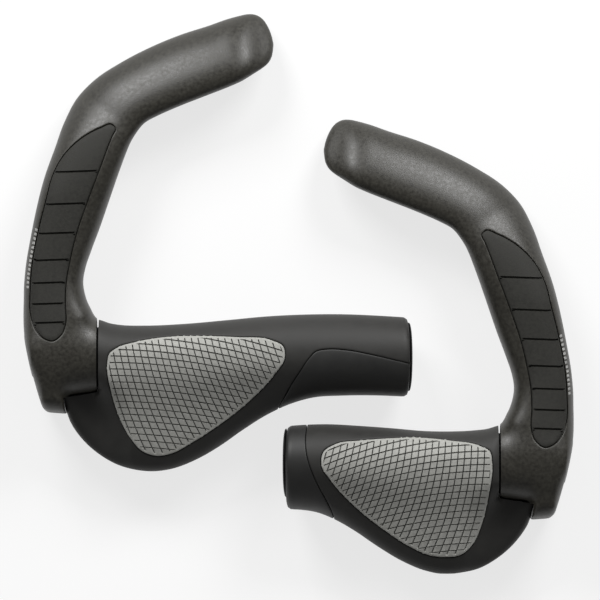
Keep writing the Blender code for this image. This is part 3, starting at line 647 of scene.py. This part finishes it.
def palm_pad(size):
    """The palm pad: a crowned sheet with a rounded rim, scored into small leaning tiles, with painted shade
    on its groove floors.
    """
    skin = Skin(size)
    outline = evenly(smooth_curve(size["palm"], 12, closed=True), 0.7, closed=True)
    plan = rimmed_plan(outline, PAD_RINGS)
    zone = offset(outline, -TILE_BORDER)
    plan.line(zone, -PAD_PROUD, closed=True)
    plan.line(offset(outline, -TILE_BORDER - 0.22), math.nan, closed=True)

    first, row_pitch, bend = size["rows"]
    pitch, lean, lean_growth, curl, curl_growth = size["columns"]
    low, high = zone.min(axis=0), zone.max(axis=0)

    def row_shift(u):
        return bend * np.clip(u - ROW_BEND_U, 0, None) ** 2

    def column_shift(start, v):
        down, on = TILE_V - v, start - TILE_U
        return (lean + lean_growth * on) * down + (curl + curl_growth * on) * down * down

    def tile_place(points):
        """Row and column numbers at plan points, with the grooves at whole numbers."""
        u, v = points[:, 0], points[:, 1]
        start = u.copy()
        for _ in range(12):
            start = u - column_shift(start, v)
        return (v + row_shift(u) - first) / row_pitch, (start - TILE_U) / pitch

    def score(line):
        kept = inside(line, zone)
        kept = kept | np.roll(kept, 1) | np.roll(kept, -1)
        runs = np.split(np.arange(len(line)), np.nonzero(np.diff(kept.astype(int)))[0] + 1)
        for run in runs:
            if kept[run[0]] and len(run) > 1:
                plan.line(line[run], math.nan)

    widths = [side * half / 2 for half in (GROOVE_TOP, GROOVE_FLOOR) for side in (-1, 1)]
    along = np.arange(low[0] - 1, high[0] + 1.2, SCORE_STEP)
    for row in TILE_ROWS:
        for width in widths:
            slope = np.hypot(1, 2 * bend * np.clip(along - ROW_BEND_U, 0, None))
            score(np.column_stack([along, first + row * row_pitch - row_shift(along) + width * slope]))
    v = np.arange(high[1] + 1, low[1] - 1.2, -SCORE_STEP)
    for column in TILE_COLUMNS:
        for width in widths:
            start = TILE_U + column * pitch
            on = start - TILE_U
            lean_here = lean + lean_growth * on + 2 * (curl + curl_growth * on) * (TILE_V - v)
            score(np.column_stack([start + column_shift(start, v) + width * np.hypot(1, lean_here), v]))

    vertices, depths, faces = plan.triangulate()
    scored = np.isnan(depths)
    rows, columns = tile_place(vertices)
    half_top, half_floor = GROOVE_TOP / 2, GROOVE_FLOOR / 2
    groove = np.zeros(len(vertices))
    for place, size_mm in ((rows, row_pitch), (columns, pitch)):
        distance = np.abs(place - np.round(place)) * size_mm * 0.97
        groove = np.maximum(groove, np.interp(distance, (half_floor * 1.08, half_top * 0.93), (1, 0)))
    ends = inside(vertices, offset(outline, -TILE_BORDER - 0.12))
    depths = np.where(scored, -PAD_PROUD + TILE_DEEP * groove * ends, depths)
    angles = skin.angle_of(vertices[:, 0], vertices[:, 1])
    points = skin.at(vertices[:, 0], angles) - skin.normal(vertices[:, 0], angles) * depths[:, None]
    bm = sheet(points, faces)
    # Faces deeper than this in the grooves get material slot 1, a darker grey: painted shade on the grooves'
    # floors.
    groove_floor = TILE_DEEP * 0.45 - PAD_PROUD
    for made_face, face in zip(bm.faces, faces):
        if np.mean(depths[face]) > groove_floor and np.all(ends[face]):
            made_face.material_index = 1
    return faced(bm)


# Solids.


def loft(rings, closed=False):
    """A solid through rings of equal length. A ring of one point closes an end."""
    bm = bmesh.new()
    loops = [[bm.verts.new(point) for point in ring] for ring in rings]
    following = loops[1:] + loops[:1] if closed else loops[1:]
    for a, b in zip(loops, following):
        for i in range(max(len(a), len(b))):
            corners = [a[i % len(a)], a[(i + 1) % len(a)], b[(i + 1) % len(b)], b[i % len(b)]]
            bm.faces.new(list(dict.fromkeys(corners)))
    for loop in (loops[0], loops[-1]):
        if len(loop) > 2 and not closed:
            bm.faces.new(loop)
    return faced(bm)


def turned(outline, steps=TURN_STEPS, slope=0.0):
    """A solid turned about the handlebar's axis from (u, radius) points. A slope tilts its faces with v."""
    turns = [math.tau * (i + 0.5) / steps for i in range(steps)]

    def ring(u, r):
        return [(u + slope * r * math.cos(a), r * math.cos(a), r * math.sin(a)) for a in turns]

    return loft([ring(u, r) if r else [(u, 0, 0)] for u, r in outline], closed=outline[0][1] > 0)


def upright(outline, steps=SMALL_STEPS):
    """A solid turned about the screw's axis from (height, radius) points."""
    bm = turned(outline, steps)
    stand = Matrix.Translation((SCREW_U, SCREW_V, 0)) @ Matrix.Rotation(-math.pi / 2, 4, "Y")
    bmesh.ops.transform(bm, matrix=stand, verts=bm.verts)
    return bm


def block(low, high):
    bm = bmesh.new()
    bmesh.ops.create_cube(bm, size=1)
    size = Vector(high) - Vector(low)
    centre = (Vector(high) + Vector(low)) / 2
    bmesh.ops.transform(bm, matrix=Matrix.Translation(centre) @ Matrix.Diagonal((*size, 1)), verts=bm.verts)
    return bm


def temporary(bm):
    mesh = bpy.data.meshes.new("temporary")
    bm.to_mesh(mesh)
    bm.free()
    return scene_object("temporary", mesh)


def modified(obj):
    """The bmesh an object's modifiers make of it. The object is deleted."""
    graph = bpy.context.evaluated_depsgraph_get()
    mesh = bpy.data.meshes.new_from_object(obj.evaluated_get(graph))
    bpy.data.objects.remove(obj)
    bm = bmesh.new()
    bm.from_mesh(mesh)
    return bm


def combine(target, tool, operation="DIFFERENCE"):
    target, tool = temporary(target), temporary(tool)
    modifier = target.modifiers.new(operation, "BOOLEAN")
    modifier.object = tool
    modifier.operation = operation
    modifier.solver = "EXACT"
    bm = modified(target)
    bpy.data.objects.remove(tool)
    bmesh.ops.remove_doubles(bm, verts=bm.verts, dist=SLIVER)
    bmesh.ops.dissolve_degenerate(bm, edges=bm.edges, dist=SLIVER)
    return bm


def merged(parts):
    """Several overlapping solids in one mesh."""
    mesh = bpy.data.meshes.new("merged")
    bm = bmesh.new()
    for part in parts:
        part.to_mesh(mesh)
        bm.from_mesh(mesh)
        part.free()
    return bm


# The bar end.


def arm_section(station, sides):
    """One closed section of the bar end, a rounded box or oval that stands across its run."""
    outer_u, outer_v, inner_u, inner_v, half, middle, square = station
    across = Vector((inner_u - outer_u, inner_v - outer_v, 0)) / 2
    across.z = across.length * LIMB_TILT * float(np.interp(outer_v, LIMB_TILT_V, (0, 1)))
    half = math.sqrt(half * half - across.z * across.z)
    centre = Vector((outer_u + inner_u, outer_v + inner_v, 2 * middle)) / 2
    ring = []
    for i in range(sides):
        c, s = math.cos(math.tau * i / sides), math.sin(math.tau * i / sides)
        reach = (abs(c) ** square + abs(s) ** square) ** (-1 / square)
        ring.append(centre + across * (c * reach) + Vector((0, 0, half * s * reach)))
    return ring


def relax(bm, weights, rounds):
    """Moves each vertex towards the middle of its neighbours, by its weight, again and again."""
    points = np.array([v.co for v in bm.verts])
    edges = np.array([(e.verts[0].index, e.verts[1].index) for e in bm.edges])
    ends = np.concatenate([edges[:, 0], edges[:, 1]])
    others = np.concatenate([edges[:, 1], edges[:, 0]])
    count = np.bincount(ends, minlength=len(points))
    for _ in range(rounds):
        middle = [np.bincount(ends, points[others, k], len(points)) / count for k in range(3)]
        points += (np.column_stack(middle) - points) * weights[:, None]
    for v, p in zip(bm.verts, points):
        v.co = p


def bar_end_shape():
    """The bar end's outside: arm, housing and collar run into one another with soft fillets."""
    stations = smooth_curve(ARM, ARM_STEPS)
    arm = loft([arm_section(station, ARM_SIDES) for station in stations] + [[ARM_TIP]])
    collar = turned([(-23, 0), (-23, COLLAR_R - 1), (-22, COLLAR_R), (-13.8, COLLAR_R), (0, COLLAR_SEAM_R),
                     (COLLAR_EXTRA, COLLAR_SEAM_R), (COLLAR_EXTRA, 0)])
    for v in collar.verts:
        v.co.z = np.clip(v.co.z, -HOUSING_HIGH, HOUSING_HIGH)
    trees = [BVHTree.FromBMesh(arm), BVHTree.FromBMesh(collar)]
    obj = temporary(merged([arm, collar]))
    modifier = obj.modifiers.new("remesh", "REMESH")
    modifier.mode = "VOXEL"
    modifier.voxel_size = VOXEL
    bm = modified(obj)
    bm.verts.ensure_lookup_table()
    bm.verts.index_update()
    meeting = []
    for v in bm.verts:
        away = max(tree.find_nearest(v.co)[3] for tree in trees)
        near = np.clip((FILLET - away) / FILLET_FADE, 0, 1)
        meeting.append(near * np.clip((FILLET_END_U - v.co.x) / FILLET_FADE, 0, 1))
    relax(bm, np.array(meeting) * FILLET_ROUNDS[0], FILLET_ROUNDS[1])
    relax(bm, np.full(len(bm.verts), POLISH_ROUNDS[0]), POLISH_ROUNDS[1])
    return bm


def clamp_room():
    """What is cut out of the bar end for the sleeve, clamp band, cap, screw and the slit behind them."""
    room, low, high = SLEEVE_R + GAP, BAND_U[0] - GAP, BAND_U[1] + GAP
    band_room = BAND_R + GAP
    cut = turned([
        (CAP_BACK_U - GAP, 0), (CAP_BACK_U - GAP, room), (low, room), (low, band_room),
        (high, band_room), (high, room), (-0.6, room), (-0.2, room + 0.15), (0, room + 0.5),
        (0, 20), (5, 20), (5, 0),
    ])
    seat = CAP_R + GAP
    cap = turned([
        (-45, 0), (-45, seat + 3), (CAP_FACE_U - 1, seat + 1.2), (CAP_FACE_U - 0.2, seat + 0.45),
        (CAP_FACE_U + 0.15, seat + 0.12), (CAP_FACE_U + 0.5, seat), (CAP_BACK_U + 1, seat),
        (CAP_BACK_U + 1, 0),
    ], slope=CAP_FACE_SLOPE)
    screw = upright([(-30, 0), (-30, HEAD_R + GAP), (EAR_W[0], HEAD_R + GAP), (EAR_W[0], SCREW_R + GAP),
                     (10.4, SCREW_R + GAP), (10.4, 0)])
    ears = block((EAR_U[0] - GAP, EAR_END - GAP, EAR_W[0] - GAP), (EAR_U[1] + GAP, -12, EAR_W[1] + GAP))
    slit = block((-40, -30, -HEEL_SLIT / 2), (-13, -10, HEEL_SLIT / 2))
    for part in (cap, screw, ears, slit):
        cut = combine(cut, part, "UNION")
    return cut


def lobe_room():
    """The cone the lobe turns in, beside the heel."""
    return turned([*HEEL_FACE, (5, HEEL_FACE[1][1]), (5, HEEL_FACE[0][1])])


def heel_toe():
    """The heel's low step behind the lobe, which keeps the gap between them from being open from above."""
    return combine(loft([arm_section(station, SMALL_STEPS) for station in TOE]), lobe_room())


def height_on(tree, u, v, facing):
    hit = tree.ray_cast((u, v, 60 * facing), (0, 0, -facing))[0]
    return hit.z if hit else math.nan


def draped(tree, facing, vertices, depths):
    """Plan points on the arm's upper or lower side, each at its depth below the surface."""
    return [(u, v, height_on(tree, u, v, facing) - depth * facing) for (u, v), depth in zip(vertices, depths)]


def arm_outline():
    return evenly(smooth_curve(ARM_PAD, 8, closed=True), 0.8, closed=True)


def add_recess(bm, tree, facing):
    """Replaces the surface round one arm pad's outline by a finer one with a soft-edged recess in it."""
    outline = arm_outline()
    reach = offset(outline, PATCH_REACH)
    faces = [f for f in bm.faces if f.normal.z * facing > 0.1]
    centres = np.array([f.calc_center_median() for f in faces])
    chosen = [f for f, within in zip(faces, inside(centres[:, :2], reach)) if within]
    bmesh.ops.delete(bm, geom=chosen, context="FACES")
    bmesh.ops.delete(bm, geom=[v for v in bm.verts if not v.link_faces], context="VERTS")
    rim = [e for e in bm.edges if e.is_boundary]
    start = rim[0].verts[0]
    loop, here, last = [start], rim[0].verts[1], rim[0]
    while here is not start:
        loop.append(here)
        last = next(e for e in here.link_edges if e.is_boundary and e is not last)
        here = last.other_vert(here)
    plan = Plan()
    plan.boundary([(v.co.x, v.co.y) for v in loop])
    for distance, depth in ARM_RIM_RINGS:
        plan.line(offset(outline, distance), depth, closed=True)
    floor = offset(outline, -2.5)
    low, high = floor.min(axis=0), floor.max(axis=0)
    lattice = np.array([(u, v) for u in np.arange(low[0], high[0], RECESS_GRID)
                        for v in np.arange(low[1], high[1], RECESS_GRID)])
    plan.add(lattice[inside(lattice, floor)], ARM_RIM_RINGS[0][1])
    vertices, depths, triangles = plan.triangulate()
    inner = draped(tree, facing, vertices[len(loop) :], depths[len(loop) :])
    made = loop + [bm.verts.new(p) for p in inner]
    for triangle in triangles:
        if len(set(triangle)) == 3:
            bm.faces.new([made[i] for i in triangle])
    bmesh.ops.recalc_face_normals(bm, faces=bm.faces)


def arm_pad(tree, facing):
    """The rubber inlay on the arm's upper or lower side, with its cross grooves."""
    outline = arm_outline()
    plan = rimmed_plan(outline, ARM_PAD_RINGS)
    face = ARM_PAD_RINGS[-1][1]
    room = offset(outline, -0.7)
    keep_off = []
    for level in CROSS_GROOVES:
        along = np.arange(-30, 10, 0.1)
        line = np.column_stack([along, level + CROSS_RISE * (along + 20)])
        line = line[inside(line, room)]
        line = evenly(line[[0, -1]], 1.2)
        keep_off.append(line)
        for side in (-1, 1):
            plan.line(line + (0, side * CROSS_WIDTH / 2), face)
            plan.line(line[1:-1] + (0, side * CROSS_WIDTH / 5), face + CROSS_DEEP)
        plan.line(line[1:-1], face + CROSS_DEEP * 1.05)
    field = offset(outline, -1.4)
    low, high = field.min(axis=0), field.max(axis=0)
    lattice = np.array([(u + 0.7 * (k % 2), v)
                        for k, v in enumerate(np.arange(low[1], high[1], PAD_GRID[1]))
                        for u in np.arange(low[0], high[0], PAD_GRID[0])])
    clear = inside(lattice, field) & (nearest(lattice, np.vstack(keep_off)) > 1.1)
    plan.add(lattice[clear], face)
    vertices, depths, triangles = plan.triangulate()
    return faced(sheet(draped(tree, facing, vertices, depths), triangles))


def edge_marks(tree):
    """A row of small pale dashes printed along the arm's outboard edge."""
    stations = smooth_curve(ARM, ARM_STEPS)
    near, far = MARK_ANGLES
    bm = bmesh.new()
    v = MARKS_V[0]
    while v < MARKS_V[1]:
        corners = []
        for dv, angle in ((0, near), (MARK_LONG, near), (MARK_LONG + MARK_SLANT, far), (MARK_SLANT, far)):
            station = [np.interp(v + dv, stations[:, 1], stations[:, k]) for k in range(7)]
            ring = arm_section(station, 360)
            corners.append(ring[angle])
        grid = []
        for i in range(MARK_GRID + 1):
            row = []
            for j in range(MARK_GRID + 1):
                a = corners[0].lerp(corners[1], i / MARK_GRID)
                b = corners[3].lerp(corners[2], i / MARK_GRID)
                point, normal, _, _ = tree.find_nearest(a.lerp(b, j / MARK_GRID))
                row.append(bm.verts.new(point + normal * MARK_PROUD))
            grid.append(row)
        for i in range(MARK_GRID):
            for j in range(MARK_GRID):
                bm.faces.new((grid[i][j], grid[i + 1][j], grid[i + 1][j + 1], grid[i][j + 1]))
        v += MARK_PITCH
    return faced(bm)


# Sleeve, cap and screw.


def core_sleeve(size):
    end = size["end"] + GAP
    rim = end + FLANGE_THICK
    start = SLEEVE_OUTBOARD
    sleeve = turned([
        (start, STOP_LIP_R), (start, SLEEVE_R - 0.3), (start + 0.3, SLEEVE_R), (end - 1.5, SLEEVE_R),
        (end, SLEEVE_R), (end, FLANGE_R - 0.2), (end + 0.1, FLANGE_R), (end + 0.2, FLANGE_R - 0.05),
        (rim - 0.3, FLANGE_R - 0.4), (rim - 0.1, FLANGE_R - 1.2), (rim, BORE_R + 1.6),
        (rim, BORE_R + 0.6), (rim - 0.15, BORE_R + 0.2), (rim - 0.5, BORE_R),
        (start + STOP_LIP, BORE_R), (start + STOP_LIP, STOP_LIP_R),
    ])
    for v in sleeve.verts:
        if v.co.x > end - 1:
            v.co.x += END_LEAN * v.co.z
    half = COLLET_SLIT / 2
    low, high = start - 5, COLLET_END
    sleeve = combine(sleeve, block((low, -half, -20), (high, half, 20)))
    return combine(sleeve, block((low, -20, -half), (high, 20, half)))


def end_cap():
    """The plug in the outboard wall, with a ring groove and a dished middle, and its four snap fingers."""
    outline = [(CAP_FACE_U - h, r) for r, h in CAP_FACE]
    cap = turned([*outline, (CAP_BACK_U, CAP_R), (CAP_BACK_U, 0)], slope=CAP_FACE_SLOPE)
    for v in cap.verts:
        if v.co.x > CAP_BACK_U - 2.2:
            v.co.x = CAP_BACK_U
    inner, outer = FINGER_R
    start = CAP_BACK_U - 1
    fingers = turned([(start, inner), (start, outer), (FINGER_END - 0.6, outer - 0.1),
                      (FINGER_END, outer - 0.5), (FINGER_END, inner)])
    for low, high in (((CAP_BACK_U, -12, -1.5), (0, 12, 1.5)), ((CAP_BACK_U, -1.5, -12), (0, 1.5, 12))):
        fingers = combine(fingers, block(low, high))
    return combine(cap, fingers, "UNION")


def clamp_screw():
    under_head = EAR_W[0] - 2 * GAP - WASHER_THICK
    bottom = under_head - HEAD_HIGH
    top = EAR_W[1] + NUT_HIGH + 0.4
    outline = [(bottom, 0), (bottom, HEAD_R - 0.45), (bottom + 0.12, HEAD_R - 0.15), (bottom + 0.45, HEAD_R),
               (under_head - 0.1, HEAD_R), (under_head, HEAD_R - 0.1), (under_head, SCREW_R)]
    thread = under_head + 4
    while thread < top - THREAD_PITCH:
        outline += [(thread, SCREW_R), (thread + THREAD_PITCH / 2, SCREW_R - 0.35)]
        thread += THREAD_PITCH
    outline += [(top - 0.4, SCREW_R), (top, SCREW_R - 0.4), (top, 0)]
    hex_r = HEX_ACROSS / 2 / math.cos(math.pi / 6)
    socket = [(bottom - 1, 0), (bottom - 1, hex_r), (bottom + HEX_DEEP, hex_r), (bottom + HEX_DEEP + 0.5, 0)]
    return combine(upright(outline), upright(socket, 6))


def washer():
    top = EAR_W[0] - GAP
    low = top - WASHER_THICK
    return upright([(low, SCREW_R + GAP), (low, HEAD_R - 0.15), (low + 0.15, HEAD_R), (top - 0.15, HEAD_R),
                    (top, HEAD_R - 0.15), (top, SCREW_R + GAP)])


# Looks.


def put(node, values):
    for name, value in values.items():
        node.inputs[name].default_value = value


def mixed(nodes, links, low, high, factor):
    """A colour between two, by a factor socket."""
    ramp = nodes.new("ShaderNodeValToRGB")
    ramp.color_ramp.elements[0].color = (*low, 1)
    ramp.color_ramp.elements[1].color = (*high, 1)
    ramp.color_ramp.elements[0].position = 0.3
    ramp.color_ramp.elements[1].position = 0.7
    links.new(factor, ramp.inputs["Fac"])
    return ramp.outputs["Color"]


def surface(name, colours, gloss, mottle, grain, stretch=(1, 1, 1), metallic=0.0, shine=0.5):
    """A procedural surface. colours and gloss are (least, most); mottle is the size in millimetres of the
    patches they vary over; grain is the (size, height) in millimetres of its fine bumps."""
    made = bpy.data.materials.new(name)
    made.use_nodes = True
    nodes, links = made.node_tree.nodes, made.node_tree.links
    shader = nodes["Principled BSDF"]
    put(shader, {"Metallic": metallic, "Specular IOR Level": shine})
    place = nodes.new("ShaderNodeTexCoord")
    scale = nodes.new("ShaderNodeMapping")
    put(scale, {"Scale": [s / MM for s in stretch]})
    links.new(place.outputs["Object"], scale.inputs["Vector"])

    def noise(size, detail):
        made_noise = nodes.new("ShaderNodeTexNoise")
        put(made_noise, {"Scale": 1 / size, "Detail": detail})
        links.new(scale.outputs["Vector"], made_noise.inputs["Vector"])
        return made_noise.outputs["Fac"]

    patches = noise(mottle, 5)
    links.new(mixed(nodes, links, *colours, patches), shader.inputs["Base Color"])
    spread = nodes.new("ShaderNodeMapRange")
    put(spread, {"From Min": 0.3, "From Max": 0.7, "To Min": gloss[0], "To Max": gloss[1]})
    links.new(patches, spread.inputs["Value"])
    links.new(spread.outputs["Result"], shader.inputs["Roughness"])
    bump = nodes.new("ShaderNodeBump")
    put(bump, {"Strength": 1.0, "Distance": grain[1] * MM})
    links.new(noise(grain[0], 2), bump.inputs["Height"])
    links.new(bump.outputs["Normal"], shader.inputs["Normal"])
    return made


EVEN, DULL, METAL = (1, 1, 1), 0.0, 1.0
LOOKS = {row[0]: surface(*row) for row in (
    ("rubber", ((0.0185, 0.018, 0.0165), (0.0235, 0.023, 0.021)), (0.54, 0.62), 5, (0.35, 0.025),
     EVEN, DULL, 0.42),
    ("inner_rubber", ((0.014, 0.014, 0.0135), (0.018, 0.018, 0.017)), (0.5, 0.58), 6, (0.35, 0.018)),
    ("palm_rubber", ((0.31, 0.31, 0.288), (0.395, 0.395, 0.368)), (0.6, 0.72), 0.9, (0.3, 0.035)),
    ("core_nylon", ((0.008,) * 3, (0.012,) * 3), (0.6, 0.7), 3, (0.5, 0.01),
     EVEN, DULL, 0.3),
    ("composite", ((0.015, 0.0135, 0.01), (0.034, 0.032, 0.025)), (0.36, 0.48), 1.4, (0.5, 0.035)),
    ("pad_rubber", ((0.017, 0.0165, 0.014), (0.027, 0.0265, 0.0225)), (0.6, 0.74), 1.3, (0.55, 0.05),
     EVEN, DULL, 0.3),
    ("clamp_alloy", ((0.5, 0.51, 0.52), (0.6, 0.61, 0.62)), (0.3, 0.42), 1.5, (0.3, 0.008),
     (1, 8, 8), METAL),
    ("steel", ((0.3, 0.3, 0.31), (0.4, 0.4, 0.41)), (0.28, 0.4), 1.2, (0.25, 0.006), (6, 6, 1), METAL),
    ("cap_plastic", ((0.015,) * 3, (0.02,) * 3), (0.34, 0.42), 3, (0.4, 0.012)),
)}
# Painted shade: the darker grey of the palm pad's groove floors, which stands in for the shade down in the
# grooves.
GROOVE_SHADE_LOOK = surface("palm_groove_painted_shade", ((0.15, 0.15, 0.14), (0.2, 0.2, 0.19)), (0.7, 0.8), 0.9, (0.3, 0.02))
MARK_INK = surface("mark_ink", ((0.16, 0.16, 0.155), (0.5, 0.5, 0.48)), (0.5, 0.6), 0.8, (0.3, 0.004))
FLOOR_LOOK = surface("floor", ((0.24,) * 3, (0.26,) * 3), (0.9, 0.95), 300, (3, 0.01))
put(FLOOR_LOOK.node_tree.nodes["Principled BSDF"],
    {"Emission Color": (1, 1, 1, 1), "Emission Strength": FLOOR_GLOW})

# Node: the record's material slot.
SLOTS = {
    "core_sleeve": "core_nylon", "rubber_body": "rubber", "inner_panel": "inner_rubber",
    "palm_pad": "palm_rubber", "bar_end": "composite", "upper_pad": "pad_rubber",
    "lower_pad": "pad_rubber", "clamp_band": "clamp_alloy", "clamp_nut": "steel", "washer": "steel",
    "clamp_screw": "steel", "end_cap": "cap_plastic",
}


def add_piece(bm, prefix, name, node, look=None):
    """Sets a piece down in the frame, in place of its CAD node when it has the same name."""
    side = 1 if prefix == "left" else -1
    seam = Vector((-side * SEAM_X, LEFT_Y if side == 1 else RIGHT_Y, AXIS_HEIGHT)) * MM
    mesh = bpy.data.meshes.new(f"{prefix}_{name}")
    bm.to_mesh(mesh)
    mesh.transform(Matrix.Translation(seam) @ Matrix.Diagonal((side * MM, MM, MM, 1)))
    if side < 0:
        mesh.flip_normals()
    low, high = np.array(cad_box[0]) + INSIDE_BOX * MM, np.array(cad_box[1]) - INSIDE_BOX * MM
    points = np.empty(len(mesh.vertices) * 3)
    mesh.vertices.foreach_get("co", points)
    mesh.vertices.foreach_set("co", np.clip(points.reshape(-1, 3), low, high).ravel())
    mesh.materials.append(look or LOOKS[SLOTS[node]])
    # The palm pad's second slot: the painted shade on its groove floors.
    if name == "palm_pad":
        mesh.materials.append(GROOVE_SHADE_LOOK)
    mesh.shade_smooth()
    mesh.set_sharp_from_angle(angle=math.radians(SHARP_ANGLE))
    cad_node = frame["nodes"][f"{prefix}_{node}"]
    obj = scene_object(f"{prefix}_{name}_look", mesh)
    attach(obj, cad_node["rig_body"])
    if name == node:
        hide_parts(cad_node.name)


shape = bar_end_shape()
shape_tree = BVHTree.FromBMesh(shape)
bar_end = combine(shape, clamp_room())
bar_end = combine(bar_end, combine(lobe_room(), block((-20, -30, -30), (5, -17.2, 30)), "INTERSECT"))
bar_end = combine(bar_end, heel_toe(), "UNION")
for facing in (1, -1):
    add_recess(bar_end, shape_tree, facing)
shared = {
    "bar_end": bar_end,
    "upper_pad": arm_pad(shape_tree, 1),
    "lower_pad": arm_pad(shape_tree, -1),
    "end_cap": end_cap(),
    "clamp_screw": clamp_screw(),
    "washer": washer(),
}
marks = edge_marks(shape_tree)
for prefix, size in (("left", LONG), ("right", SHORT)):
    skins = build_skin(size)
    pieces = {**shared, "rubber_body": skins["body"], "inner_panel": skins["panel"],
              "palm_pad": palm_pad(size), "core_sleeve": core_sleeve(size)}
    for name, bm in pieces.items():
        add_piece(bm, prefix, name, name)
    add_piece(marks, prefix, "edge_marks", "bar_end", look=MARK_INK)
    for name in ("clamp_band", "clamp_nut"):
        kept = frame["nodes"][f"{prefix}_{name}"]
        kept.data.materials.clear()
        kept.data.materials.append(LOOKS[SLOTS[name]])


# Floor, light and camera.

floor_mesh = bpy.data.meshes.new("floor")
floor_corners = [(i * FLOOR_REACH, j * FLOOR_REACH, 0) for i, j in ((-1, -1), (1, -1), (1, 1), (-1, 1))]
floor_mesh.from_pydata(floor_corners, [], [(0, 1, 2, 3)])
floor_mesh.materials.append(FLOOR_LOOK)
floor = scene_object("floor", floor_mesh)
floor.location.z = -FLOOR_GAP * MM

for side in (-1, 1):
    lamp = bpy.data.lights.new("front_light", "AREA")
    lamp.shape = "RECTANGLE"
    lamp.size, lamp.size_y = LIGHT_SIZE
    lamp.energy = LIGHT_POWER
    light = scene_object("front_light", lamp)
    light.location = (side * LIGHT_AT[0], *LIGHT_AT[1:])
    light.rotation_euler = (-Vector(light.location)).to_track_quat("-Z", "Y").to_euler()
    light.visible_camera = False

world = bpy.data.worlds.new("studio")
bpy.context.scene.world = world
world.use_nodes = True
put(world.node_tree.nodes["Background"], {"Color": (1, 1, 1, 1), "Strength": SKY})
bpy.context.scene.view_settings.view_transform = "Standard"

lens = bpy.data.cameras.new("camera")
lens.lens = LENS
lens.clip_end = CLIP_END
camera = scene_object("camera", lens)
away = FRAME_WIDTH * LENS / lens.sensor_width
camera.location = (AIM[0] * MM, AIM[1] * MM, (AXIS_HEIGHT + away) * MM)
bpy.context.scene.camera = camera
